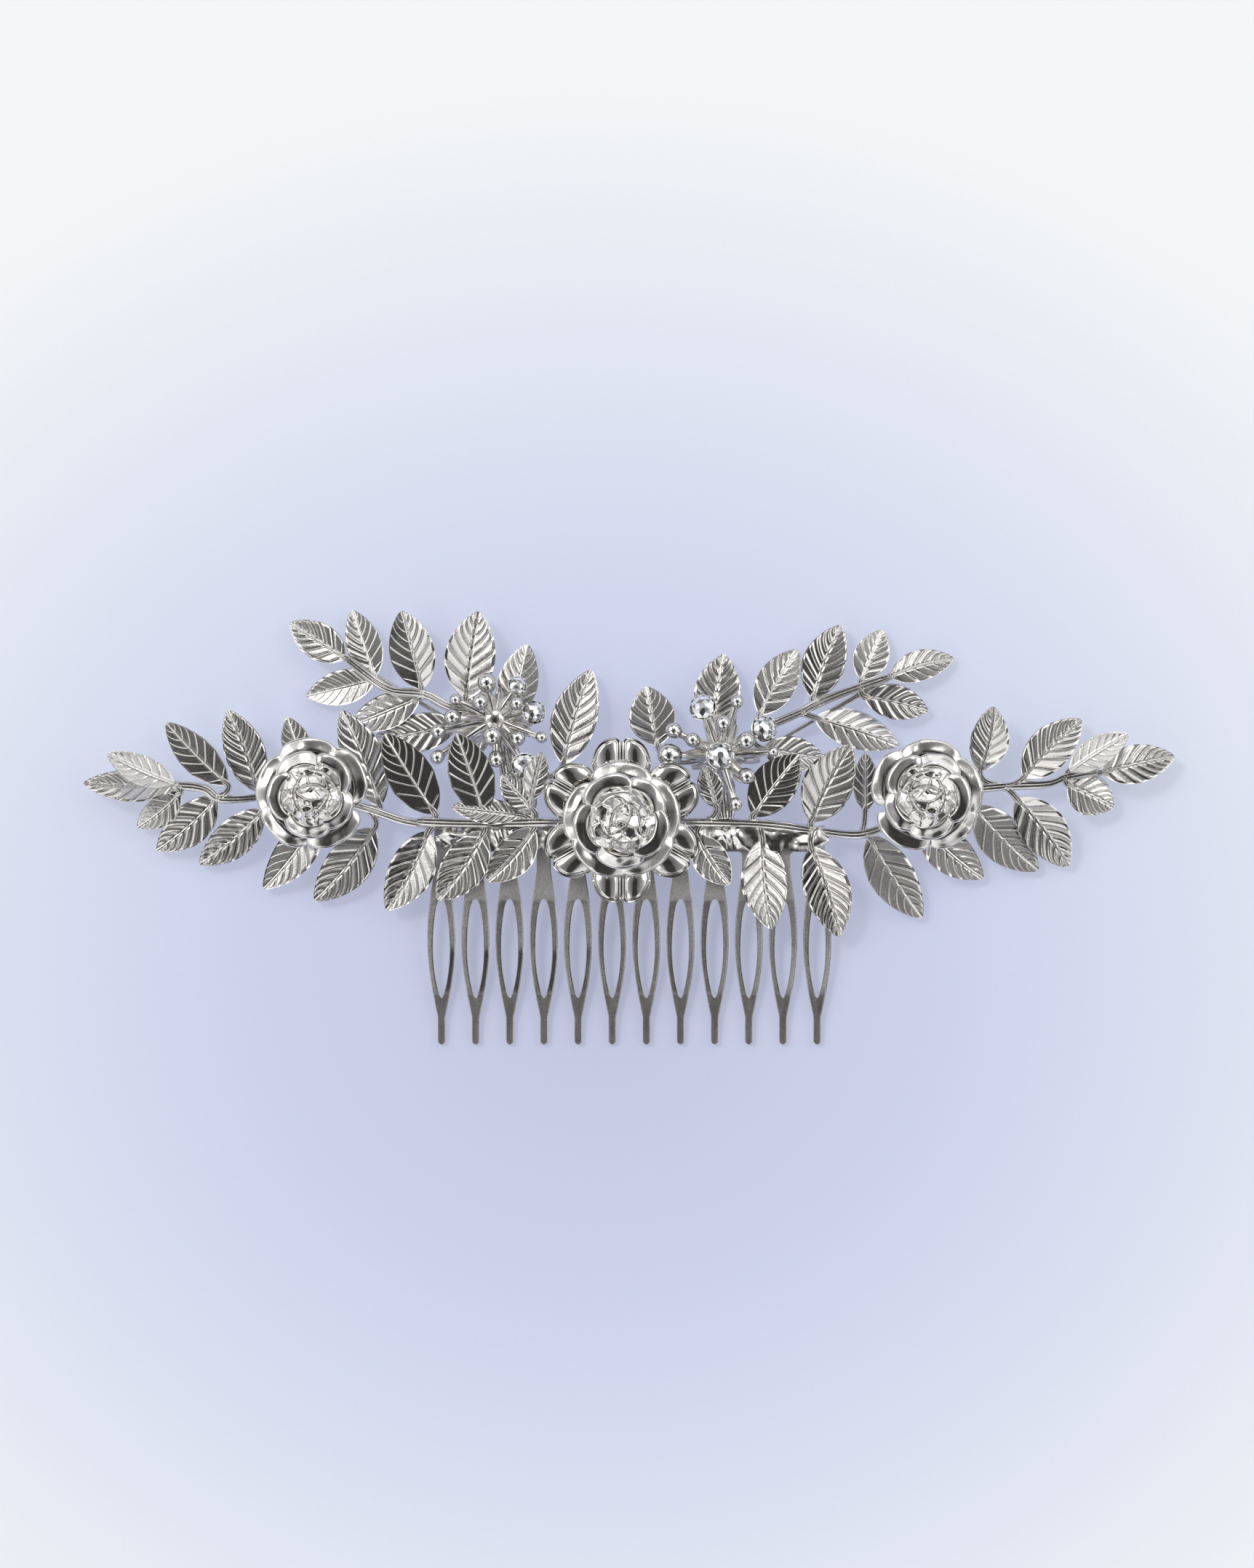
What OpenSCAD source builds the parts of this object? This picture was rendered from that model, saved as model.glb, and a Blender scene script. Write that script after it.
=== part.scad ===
// Decorative hair comb: a twelve-tine metal comb plate carrying leaf sprays,
// a six-petal flower, three roses and two clusters of beads and crystals.
// The comb lies on its back: +Z is the ornamental front, the tines point to -Y.

/* [Comb plate] */
// Number of tines
tine_count = 12; // [10:1:13]
// Distance between neighbouring tines
tine_pitch = 4.35; // [3.9:0.05:4.6]
// Thickness of the stamped comb plate
plate_t = 0.8; // [0.6:0.1:1.0]
// Y of the bar's top edge
bar_top_y = 0.2; // [0:0.1:0.4]
// Y of the bar's lower edge, where the tines separate
bar_low_y = -3.1; // [-4:0.1:-2.6]
// Y of the tine tips
tip_y = -27.7; // [-32:0.2:-26]
// Height of the flat bar above the surface the comb lies on
bar_lift = 2.4; // [2:0.1:3]
// Half the width of a tine where it leaves the bar
trunk_hw = 0.9; // [0.8:0.02:1.2]
// How far each tine swells around its teardrop slot
tine_swell = 1.1; // [0.7:0.02:1.1]
// Half the width of the teardrop slot
slot_hw = 1.04; // [0.7:0.02:1.1]
// Half the width of a tine near its tip
stem_hw = 0.48; // [0.4:0.02:0.6]

/* [Leaf sprays] */
// Thickness of the stamped leaf metal
leaf_t = 0.45; // [0.35:0.05:0.55]
// How far a leaf's midrib stands above its edges
leaf_crown = 0.35; // [0.1:0.05:0.45]
// Width of the flat stems
stem_w = 1.0; // [0.8:0.1:1.2]
// Thickness of the flat stems and of each layer of the stack on the bar
strip_t = 0.7; // [0.6:0.1:0.8]

/* [Flowers] */
// Radius of the six-petal flower behind the centre rose
flower_r = 10.6; // [9.8:0.1:11.2]
// Radius of the centre rose's outer petals
centre_rose_r = 7.2; // [6:0.1:7.4]
// Radius of the side roses' outer petals
side_rose_r = 7.2; // [6.4:0.1:7.6]
// Thickness of the petal metal
petal_t = 0.5; // [0.4:0.05:0.55]
// Radius of the rivet that holds a rose together
rivet_r = 0.5; // [0.4:0.05:0.6]

/* [Bead clusters] */
// Size of every bead and crystal against its nominal size
bead_k = 1.0; // [0.9:0.02:1]
// Radius of the arms that carry the beads
arm_r = 0.4; // [0.35:0.05:0.45]

/* [Hidden] */

plate_col = "darkgray";
silver_col = "silver";
rose_col = "gainsboro";
bead_col = "whitesmoke";
crystal_col = "lightcyan";

// levels of the stack on the front of the bar
l1 = bar_lift + plate_t;   // end sprays and upper sprays
l2 = l1 + strip_t;         // lower left spray
l3 = l2 + strip_t;         // lower right spray's pad
l4 = l3 + strip_t;         // centre flower
z1 = l1 - 3.2;             // shift of the tables below when the levels move
z2 = l2 - 3.9;

// places where a rose or flower is riveted on
centre_at = [-1.0, 0.9];
left_rose_at = [-40.2, 4.2];
right_rose_at = [37.6, 4.0];

// ---- leaves ----
// each row: tip x, tip y, tip z, base x, base y, base z, full width, roll in degrees
left_end_leaves = [
    [-69.4,  5.6, 2.4, -57.3, 5.4, 3.6, 3.9,   6],
    [-66.1,  9.4, 5.6, -57.8, 5.6, 3.6, 3.6,  48],
    [-58.9, 13.3, 2.6, -51.1, 5.5, 3.3, 4.2,   0],
    [-62.6,  0.0, 1.6, -57.1, 4.4, 3.5, 3.7, -14],
    [-60.1, -2.9, 1.4, -52.4, 3.7, 3.3, 4.8,  10],
    [-54.7, -4.7, 1.3, -46.5, 2.1, 3.2, 4.6,   8],
    [-51.0, 14.9, 3.4, -47.2, 4.6, 3.2, 4.8,  -8],
    [-43.5, 14.0, 2.4, -41.2, 7.2, 3.2, 3.5,  12],
    [-36.5, 14.8, 4.6, -31.7, 2.8, 3.2, 5.1, -14],
    [-46.5, -7.8, 1.3, -39.3, 1.7, 3.2, 4.8,  10],
    [-40.0, -9.3, 1.2, -32.4, -0.2, 3.2, 5.4,  6]
];
right_end_leaves = [
    [ 37.2, -11.5, 1.1, 30.4, -1.1, 3.2, 5.4,  -8],
    [ 45.0,  -6.5, 1.2, 36.9,  0.7, 3.2, 5.1,  10],
    [ 52.0,  -5.5, 1.2, 43.8,  2.6, 3.2, 5.4,  -6],
    [ 55.9,  -5.0, 1.2, 49.2,  3.7, 3.3, 5.5,   8],
    [ 61.6,   2.6, 2.2, 55.7,  5.4, 3.4, 5.0,  12],
    [ 69.3,   9.0, 2.4, 60.0,  7.0, 3.6, 4.6,  -6],
    [ 63.2,  11.8, 5.4, 55.9,  7.2, 3.5, 3.6, -46],
    [ 57.5,  13.7, 2.0, 50.1,  6.3, 3.3, 5.1,   0],
    [ 46.2,  15.3, 4.2, 44.6,  7.2, 3.2, 4.6,   8],
    [ 30.0,   9.5, 3.3, 30.0,  2.1, 3.2, 3.1,   0]
];
upper_left_leaves = [
    [-43.2, 26.0, 1.0, -36.1, 21.5, 2.4, 4.4,   8],
    [-35.3, 27.6, 0.8, -32.4, 19.2, 2.4, 4.2,  -6],
    [-29.0, 27.5, 0.0, -26.4, 17.6, 2.6, 5.4,   0],
    [-41.1, 16.7, 0.9, -32.4, 18.8, 2.4, 4.2, -10],
    [-35.6, 12.8, 1.3, -26.8, 16.4, 2.6, 4.2, -12],
    [-32.6, 11.1, 1.4, -21.8, 13.2, 2.8, 4.6,   8],
    [-19.2, 27.4, 2.6, -20.8, 16.4, 2.9, 6.0,  14],
    [-13.0, 23.3, 1.2, -15.3, 13.7, 2.9, 4.8,  -6],
    [ -4.9, 20.0, 1.6,  -8.4,  8.1, 2.9, 5.4, -10]
];
upper_right_leaves = [
    [ 21.4, 22.6, 0.9, 16.6, 14.4, 2.8, 4.8,   0],
    [ 26.9, 25.7, 0.0, 23.3, 16.4, 2.6, 5.1,  -8],
    [ 32.3, 25.1, 0.8, 29.5, 18.8, 2.5, 4.2,   8],
    [ 41.3, 21.5, 1.0, 33.2, 19.2, 2.4, 3.7,  12],
    [ 38.0, 14.8, 1.2, 30.0, 16.6, 2.5, 4.2,  10],
    [ 34.3, 10.4, 1.2, 23.7, 13.9, 2.7, 4.6,   0],
    [ 24.9,  8.6, 1.8, 17.0, 10.0, 2.9, 4.2,   6],
    [ 12.0, 22.0, 1.4, 11.0, 12.8, 2.9, 5.5,   6],
    [  2.1, 17.9, 1.8,  3.6, 10.4, 2.9, 5.5,   8]
];
lower_left_leaves = [
    [-31.0,  11.8, 6.4, -24.7,  1.8, 3.9, 5.5,   0],
    [-21.9,  11.9, 7.4, -18.5,  1.7, 3.9, 5.4,   0],
    [-30.8, -10.5, 2.4, -25.5, -0.6, 3.9, 5.4,   8],
    [-24.3,  -9.2, 3.6, -18.5, -0.6, 3.9, 5.4,   6],
    [-18.1,  -6.9, 3.6, -12.1, -0.2, 3.9, 4.6,   0],
    [-11.1,   9.5, 8.0, -12.5,  3.5, 4.4, 3.1,   0],
    [-16.2,   6.7, 4.4, -12.1,  2.1, 4.1, 3.7,   0],
    [-22.5,   2.6, 4.3, -13.9,  1.6, 4.0, 3.1,   0]
];
lower_right_leaves = [
    [ 21.5,   9.2, 5.4, 15.7,  1.5, 3.9, 5.4,   0],
    [ 28.0,  10.4, 5.6, 23.1,  0.7, 3.9, 6.0, -10],
    [ 18.0, -12.9, 3.4, 16.9, -1.6, 3.9, 5.5,  10],
    [ 26.7, -13.9, 3.0, 23.1, -2.5, 3.9, 5.5,   8],
    [ 12.7,  -7.3, 3.7,  8.7, -1.1, 4.0, 4.2,   0],
    [  9.5,   7.9, 5.0, 11.0,  2.6, 4.2, 3.1,   0]
];

// ---- stems: x, y, z of the underside at each bend ----
left_end_stem = [
    [-57.8, 5.4, 3.6], [-54.1, 4.9, 3.4], [-52.3, 3.7, 3.2], [-49.5, 3.6, 3.2],
    [-46.2, 3.9, 3.2], [-40.2, 4.2, 3.2], [-33.5, 2.4, 3.2], [-28.7, 0.8, 3.2],
    [-25.0, 0.3, 3.2], [-21.8, 0.2, 3.2]
];
right_end_stem = [
    [20.4, 0.2, 3.2], [25.0, -0.6, 3.2], [29.6, -0.9, 3.2], [33.6, 0.8, 3.2],
    [37.6, 4.0, 3.2], [42.0, 4.6, 3.2], [47.6, 5.2, 3.2], [53.1, 5.5, 3.3],
    [55.6, 6.4, 3.4], [59.4, 7.1, 3.6]
];
upper_left_stem = [
    [-14.0, 0.2, 3.2], [-15.4, 7.0, 3.0], [-17.1, 13.7, 3.0], [-22.7, 15.3, 2.8],
    [-26.0, 16.9, 2.6], [-30.1, 17.4, 2.5], [-32.5, 18.7, 2.4], [-36.1, 21.5, 2.4]
];
upper_right_stem = [
    [12.4, 0.2, 3.2], [12.0, 4.6, 3.1], [11.5, 9.1, 3.0], [15.4, 11.8, 2.9],
    [18.4, 13.2, 2.8], [21.7, 14.6, 2.7], [24.4, 16.0, 2.6], [29.4, 17.9, 2.5],
    [33.2, 19.2, 2.4]
];
lower_left_stem = [
    [-27.0, 0.8, 3.9], [-24.6, 0.6, 3.9], [-18.5, 0.5, 3.9], [-12.0, 0.6, 3.9], [-1.0, 0.9, 3.9]
];
lower_right_stem = [
    [-1.0, 0.9, 4.6], [1.6, 0.9, 4.6], [6.0, 0.7, 3.9], [9.4, 0.6, 3.9],
    [16.4, 0.4, 3.9], [23.4, -0.4, 3.9]
];

// ---- beads: x, y, z of the centre and radius; each on an arm from its hub ----
left_hub = [-17.1, 13.7, 4.4];
right_hub = [11.5, 9.1, 4.4];
left_beads = [
    [-22.5, 14.0, 5.6, 1.02], [-22.1, 16.2, 4.9, 0.74], [-18.9, 15.9, 6.8, 1.02],
    [-18.1, 18.4, 5.2, 1.2], [-14.3, 15.7, 6.6, 0.83], [-17.4, 11.6, 7.2, 1.2],
    [-14.2, 11.3, 5.6, 1.02], [-11.1, 11.4, 5.2, 0.74], [-24.3, 12.2, 4.6, 0.92],
    [-24.4, 8.9, 4.4, 0.92], [-16.9, 8.6, 5.3, 1.02]
];
left_crystals = [[-14.2, 18.0, 5.0, 1.11], [-12.1, 14.6, 5.2, 1.39], [-13.4, 7.9, 5.2, 1.48]];
right_beads = [
    [11.9, 13.2, 6.6, 1.02], [13.7, 16.0, 4.9, 0.83], [5.6, 12.3, 5.2, 1.02],
    [8.0, 11.1, 6.6, 0.92], [5.0, 9.2, 5.5, 1.48], [14.8, 11.0, 6.8, 1.11],
    [14.9, 6.5, 5.8, 1.02], [13.5, 2.9, 5.4, 0.83], [18.3, 9.6, 4.7, 0.65]
];
right_crystals = [[9.3, 15.2, 5.6, 1.57], [17.1, 12.5, 5.3, 1.57]];
hub_crystal_r = 1.6;

function lerp(a, b, t) = a + (b - a) * t;

// A closed sheet between a grid of points and the same grid set down by t.
// top holds rows of points; rows run along the sheet, points across it.
module sheet(top, t) {
    m = len(top);
    n = len(top[0]);
    N = m * n;
    pts = concat([for (r = top) for (p = r) p], [for (r = top) for (p = r) p - [0, 0, t]]);
    faces = concat(
        [for (i = [0:m - 2]) for (j = [0:n - 2]) for (k = [0, 1])
            let (a = i * n + j, b = a + n, c = b + 1, d = a + 1) k == 0 ? [a, d, c] : [a, c, b]],
        [for (i = [0:m - 2]) for (j = [0:n - 2]) for (k = [0, 1])
            let (a = N + i * n + j, b = a + n, c = b + 1, d = a + 1) k == 0 ? [a, c, d] : [a, b, c]],
        [for (j = [0:n - 2]) for (k = [0, 1])
            let (a = j, d = j + 1) k == 0 ? [d, a, a + N] : [d, a + N, d + N]],
        [for (j = [0:n - 2]) for (k = [0, 1])
            let (b = (m - 1) * n + j, c = b + 1) k == 0 ? [b, c, c + N] : [b, c + N, b + N]],
        [for (i = [0:m - 2]) for (k = [0, 1])
            let (a = i * n, b = a + n) k == 0 ? [a, b, b + N] : [a, b + N, a + N]],
        [for (i = [0:m - 2]) for (k = [0, 1])
            let (d = i * n + n - 1, c = d + n) k == 0 ? [c, d, d + N] : [c, d + N, c + N]]
    );
    polyhedron(points = pts, faces = faces, convexity = 6);
}

// ---- leaf ----
function leaf_shape(u) = pow(sin(180 * (0.03 + 0.94 * pow(u, 0.92))), 0.8);
function leaf_grid(f, dz) =
    let (
        tip = [f[0], f[1], f[2] + dz], base = [f[3], f[4], f[5] + dz],
        d = tip - base, len_xy = norm([d[0], d[1]]),
        s = [-d[1], d[0], 0] / len_xy,
        roll = tan(f[7])
    )
    [for (i = [0:5]) let (u = i / 5, hw = f[6] / 2 * leaf_shape(u))
        [for (j = [-2:2]) let (v = j / 2)
            base + d * u + s * (hw * v)
            + [0, 0, leaf_t + leaf_crown * (1 - v * v) * leaf_shape(u)
                + roll * hw * v + abs(roll) * hw]]];

// the bend of the stem that a leaf's stalk springs from
function nearest(p, path, i = 0, best = 0) =
    i >= len(path) ? best :
    nearest(p, path, i + 1,
        norm([path[i][0] - p[0], path[i][1] - p[1]]) < norm([path[best][0] - p[0], path[best][1] - p[1]]) ? i : best);

module disc_at(p, r, h) {
    translate(p) cylinder(r = r, h = h, $fn = 6);
}

// a flat stem along a path, and a stalk from it to each leaf
module spray(stem, leaves, dz) {
    for (i = [0:len(stem) - 2])
        hull() {
            disc_at(stem[i] + [0, 0, dz], stem_w / 2, strip_t);
            disc_at(stem[i + 1] + [0, 0, dz], stem_w / 2, strip_t);
        }
    for (f = leaves) {
        root = stem[nearest([f[3], f[4]], stem)];
        hull() {
            disc_at(root + [0, 0, dz], stem_w * 0.42, strip_t * 0.9);
            disc_at([f[3], f[4], f[5] + dz], 0.4, leaf_t + 0.1);
        }
        sheet(leaf_grid(f, dz), leaf_t);
    }
}

module pad(at, z, r, h) {
    translate([at[0], at[1], z]) cylinder(r = r, h = h, $fn = 48);
}

module rivet_hole(at) {
    translate([at[0], at[1], -1]) cylinder(r = rivet_r + 0.05, h = 20, $fn = 32);
}

// ---- comb plate ----
function tine_x(i) = (i - (tine_count - 1) / 2) * tine_pitch;
crease_y = -8.8;
swell_top = -5.6;
swell_end = -24.2;
// half the width of a tine at height y
function tine_hw(y) =
    y > swell_top ? trunk_hw :
    y < swell_end ? stem_hw :
    let (u = (swell_top - y) / (swell_top - swell_end))
    lerp(trunk_hw, stem_hw, u) + tine_swell * sin(180 * u);
function slot_hw_at(v) = slot_hw * pow(sin(180 * v), v < 0.5 ? 0.45 : 0.65);

// the outline of one tine: down its right side, round its tip and up its left side
function tine_points(x) =
    let (
        ys = concat([bar_low_y, swell_top + 0.001], [for (i = [1:18]) lerp(swell_top, swell_end, i / 18)], [tip_y + stem_hw]),
        tip = [for (a = [20:20:160]) [x + stem_hw * cos(a), tip_y + stem_hw - stem_hw * sin(a)]]
    )
    concat(
        [for (y = ys) [x + tine_hw(y), y]],
        tip,
        [for (i = [len(ys) - 1:-1:0]) [x - tine_hw(ys[i]), ys[i]]]
    );

module plate_outline(half) {
    polygon(concat(
        [[-half, bar_top_y], [half, bar_top_y]],
        [for (i = [tine_count - 1:-1:0]) each tine_points(tine_x(i))]
    ));
}

module slot_outline() {
    top_y = crease_y - 0.35;
    low_y = swell_end + 2.4;
    vs = [0.015, 0.06, 0.14, 0.24, 0.36, 0.48, 0.6, 0.72, 0.83, 0.92, 0.98];
    polygon(concat(
        [[0, top_y]],
        [for (v = vs) [slot_hw_at(v), lerp(top_y, low_y, v)]],
        [[0, low_y]],
        [for (i = [len(vs) - 1:-1:0]) [-slot_hw_at(vs[i]), lerp(top_y, low_y, vs[i])]]
    ));
}

// underside height of the plate at y: flat bar, then a crease and a gentle curve
function plate_z(y) =
    y >= crease_y ? bar_lift :
    let (s = (crease_y - y) / (crease_y - tip_y)) bar_lift * (1 - s * (1.35 - 0.35 * s));

module comb_plate() {
    half = tine_x(tine_count - 1) + trunk_hw;
    ys = concat([bar_top_y + 1, crease_y], [for (i = [1:8]) lerp(crease_y, tip_y, i / 8)], [tip_y - 1]);
    color(plate_col)
    intersection() {
        difference() {
            linear_extrude(height = bar_lift + plate_t + 1) plate_outline(half);
            for (i = [0:tine_count - 1])
                translate([tine_x(i), 0, -1]) linear_extrude(height = bar_lift + plate_t + 3) slot_outline();
        }
        translate([-half - 1, 0, 0]) rotate([90, 0, 90])
            linear_extrude(height = 2 * half + 2)
                polygon(concat(
                    [for (y = ys) [y, max(0, plate_z(y))]],
                    [for (i = [len(ys) - 1:-1:0]) [ys[i], max(0, plate_z(ys[i])) + plate_t]]
                ));
    }
}

// ---- sprays ----
module left_end_spray() {
    color(silver_col) difference() {
        union() {
            spray(left_end_stem, left_end_leaves, z1);
            pad(left_rose_at, l1, 1.7, 1.0);
        }
        rivet_hole(left_rose_at);
    }
}

module right_end_spray() {
    color(silver_col) difference() {
        union() {
            spray(right_end_stem, right_end_leaves, z1);
            pad(right_rose_at, l1, 1.7, 1.0);
        }
        rivet_hole(right_rose_at);
    }
}

module upper_left_spray() {
    color(silver_col) spray(upper_left_stem, upper_left_leaves, z1);
}

module upper_right_spray() {
    color(silver_col) spray(upper_right_stem, upper_right_leaves, z1);
}

module lower_left_spray() {
    color(silver_col) difference() {
        union() {
            spray(lower_left_stem, lower_left_leaves, z2);
            pad(centre_at, l2, 1.7, strip_t);
        }
        rivet_hole(centre_at);
    }
}

module lower_right_spray() {
    color(silver_col) difference() {
        union() {
            spray(lower_right_stem, lower_right_leaves, z2);
            pad(centre_at, l3, 1.7, strip_t);
        }
        rivet_hole(centre_at);
    }
}

// ---- petals ----
// A closed sheet on a ring of spokes. grid holds one row of points per spoke,
// from the bore outwards; t is its thickness.
module ring_sheet(grid, t) {
    m = len(grid);
    n = len(grid[0]);
    N = m * n;
    pts = concat([for (r = grid) for (p = r) p], [for (r = grid) for (p = r) p - [0, 0, t]]);
    faces = concat(
        [for (i = [0:m - 1]) for (j = [0:n - 2]) for (k = [0, 1])
            let (a = i * n + j, b = ((i + 1) % m) * n + j, c = b + 1, d = a + 1) k == 0 ? [a, b, c] : [a, c, d]],
        [for (i = [0:m - 1]) for (j = [0:n - 2]) for (k = [0, 1])
            let (a = N + i * n + j, b = N + ((i + 1) % m) * n + j, c = b + 1, d = a + 1) k == 0 ? [a, c, b] : [a, d, c]],
        [for (i = [0:m - 1]) for (k = [0, 1])
            let (a = i * n, b = ((i + 1) % m) * n) k == 0 ? [b, a, a + N] : [b, a + N, b + N]],
        [for (i = [0:m - 1]) for (k = [0, 1])
            let (d = i * n + n - 1, c = ((i + 1) % m) * n + n - 1) k == 0 ? [d, c, c + N] : [d, c + N, d + N]]
    );
    polyhedron(points = pts, faces = faces, convexity = 8);
}

// a round of five petals: w runs 0 at a notch to 1 at a petal's middle
function lobe_w(a, n) = abs(sin(a * n / 2));
function rose_grid(a0, r1, rise, cup, t) =
    [for (i = [0:39]) let (a = i * 9, w = lobe_w(a, 5), rim = r1 * (0.7 + 0.3 * pow(w, 0.6)))
        [for (j = [0:4]) let (u = j / 4, r = lerp(rivet_r + 0.05, rim, u), q = max(0, (r - 1.9) / (r1 - 1.9)))
            [r * cos(a + a0), r * sin(a + a0),
                t + rise * q * q - cup * (1 - w) * q * (1 - q)]]];

module rose_layer(at, z, a0, r1, rise, cup) {
    translate([at[0], at[1], z]) ring_sheet(rose_grid(a0, r1, rise, cup, petal_t), petal_t);
}

// a closed bud: a heart ringed by curled petals, lofted from turned rings
module rose_bud(at, z, r, h, a0) {
    rs = [0.42, 0.82, 1.0, 0.98, 0.86, 0.66, 0.42, 0.14];
    m = 30;
    n = len(rs);
    pts = concat(
        [for (j = [0:n - 1]) for (i = [0:m - 1])
            let (a = i * 12, k = r * rs[j] * (1 - 0.1 * pow(1 - lobe_w(a + 14 * j, 5), 2)))
                [k * cos(a + a0), k * sin(a + a0), h * j / (n - 1)]],
        [[0, 0, 0], [0, 0, h]]
    );
    faces = concat(
        [for (j = [0:n - 2]) for (i = [0:m - 1]) for (k = [0, 1])
            let (a = j * m + i, b = j * m + (i + 1) % m, c = b + m, d = a + m) k == 0 ? [a, c, b] : [a, d, c]],
        [for (i = [0:m - 1]) [n * m, i, (i + 1) % m]],
        [for (i = [0:m - 1]) [n * m + 1, (n - 1) * m + (i + 1) % m, (n - 1) * m + i]]
    );
    difference() {
        translate([at[0], at[1], z]) polyhedron(points = pts, faces = faces, convexity = 4);
        translate([at[0], at[1], z - 0.01]) cylinder(r = rivet_r + 0.6, h = 0.62, $fn = 32);
    }
}

// shank up through the layers, with a head on the inner petals' disc
module rose_rivet(at, low, high) {
    color(silver_col) translate([at[0], at[1], low]) {
        cylinder(r = rivet_r, h = high - low, $fn = 32);
        translate([0, 0, high - low]) cylinder(r = rivet_r + 0.5, h = 0.5, $fn = 32);
    }
}

side_z = l1 + 1.0;                 // seat of a side rose
flower_boss = 0.9;
centre_z = l4 + flower_boss;       // seat of the centre rose

// ---- centre flower: six petals, each crowned in two lobes with a valley between ----
function flower_grid(r1, rise, lobe, t) =
    [for (i = [0:59]) let (a = i * 6, w = lobe_w(a, 6), v = ((a + 30) % 60 - 30) / 30,
            rim = r1 * (0.52 + 0.48 * pow(w, 0.55)) - 0.25 * pow(w, 16))
        [for (j = [0:6]) let (u = j / 6, r = lerp(rivet_r + 0.05, rim, u), q = max(0, (r - 2.2) / (r1 - 2.2)))
            [r * cos(a), r * sin(a),
                t + rise * q + lobe * pow(sin(180 * w), 2) * sin(180 * min(1, q * 1.02))]]];

module centre_flower() {
    color(silver_col) translate([centre_at[0], centre_at[1], l4]) {
        ring_sheet(flower_grid(flower_r, 0.7, 0.8, petal_t), petal_t);
        translate([0, 0, petal_t - 0.1]) difference() {
            cylinder(r = 1.7, h = flower_boss - petal_t + 0.1, $fn = 48);
            translate([0, 0, -1]) cylinder(r = rivet_r + 0.05, h = 3, $fn = 32);
        }
    }
}

// ---- roses ----
module centre_rose_outer_petals() {
    color(rose_col) rose_layer(centre_at, centre_z, 18, centre_rose_r, 1.9, 0.8);
}
module centre_rose_inner_petals() {
    color(rose_col) rose_layer(centre_at, centre_z + petal_t + 0.02, 54, centre_rose_r * 0.84, 2.6, 0);
}
module centre_rose_bud() {
    color(rose_col) rose_bud(centre_at, centre_z + 2 * petal_t + 0.04, 3.7, 5.6, 12);
}
module centre_rose_rivet() {
    rose_rivet(centre_at, l2, centre_z + 2 * petal_t + 0.02);
}
module left_rose_outer_petals() {
    color(rose_col) rose_layer(left_rose_at, side_z, 56, side_rose_r, 2.2, 0.8);
}
module left_rose_inner_petals() {
    color(rose_col) rose_layer(left_rose_at, side_z + petal_t + 0.02, 17, side_rose_r * 0.8, 2.8, 0);
}
module left_rose_bud() {
    color(rose_col) rose_bud(left_rose_at, side_z + 2 * petal_t + 0.04, 3.9, 5.6, 30);
}
module left_rose_rivet() {
    rose_rivet(left_rose_at, l1, side_z + 2 * petal_t + 0.02);
}
module right_rose_outer_petals() {
    color(rose_col) rose_layer(right_rose_at, side_z, 52, side_rose_r, 2.2, 0.8);
}
module right_rose_inner_petals() {
    color(rose_col) rose_layer(right_rose_at, side_z + petal_t + 0.02, 19, side_rose_r * 0.8, 2.8, 0);
}
module right_rose_bud() {
    color(rose_col) rose_bud(right_rose_at, side_z + 2 * petal_t + 0.04, 3.9, 5.6, 78);
}
module right_rose_rivet() {
    rose_rivet(right_rose_at, l1, side_z + 2 * petal_t + 0.02);
}

// ---- bead clusters ----
// turns +Z towards the direction d, then draws the children
module along(d) {
    rotate([0, acos(d[2] / norm(d)), atan2(d[1], d[0])]) children();
}

module arm(hub, bead) {
    c = [bead[0], bead[1], bead[2]];
    d = c - hub;
    r = bead[3] * bead_k;
    translate(hub) along(d) {
        cylinder(r = arm_r, h = norm(d) - r, $fn = 24);
        cylinder(r = arm_r * 0.6, h = norm(d) - 0.25 * r, $fn = 24);
    }
}

module cluster_arms(hub, beads, seat_z, hub_r) {
    color(silver_col) {
        translate([hub[0], hub[1], seat_z]) cylinder(r = hub_r, h = hub[2] + 1.2 - seat_z, $fn = 48);
        for (b = beads) arm(hub, b);
    }
}

module bore_for(hub, bead) {
    c = [bead[0], bead[1], bead[2]];
    d = hub - c;
    translate(c) along(d) translate([0, 0, 0.2 * bead[3]]) cylinder(r = arm_r * 0.6 + 0.03, h = bead[3] + 1, $fn = 24);
}

module bead(hub, b) {
    color(bead_col) difference() {
        translate([b[0], b[1], b[2]]) sphere(r = b[3] * bead_k, $fn = 32);
        bore_for(hub, b);
    }
}

module crystal_shape(r) {
    rotate_extrude($fn = 10)
        polygon([[0, -r], [0.5 * r, -0.84 * r], [0.88 * r, -0.42 * r], [0.98 * r, 0],
            [0.88 * r, 0.42 * r], [0.5 * r, 0.84 * r], [0, r]]);
}

module crystal(hub, b) {
    color(crystal_col) difference() {
        translate([b[0], b[1], b[2]]) along([b[0] - hub[0], b[1] - hub[1], b[2] - hub[2]]) crystal_shape(b[3] * bead_k);
        bore_for(hub, b);
    }
}

module left_cluster_arms() {
    cluster_arms(left_hub, concat(left_beads, left_crystals), l1 - 0.2 + strip_t, 1.25);
}
module right_cluster_arms() {
    cluster_arms(right_hub, concat(right_beads, right_crystals), l1 - 0.2 + strip_t, 1.5);
}

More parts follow.
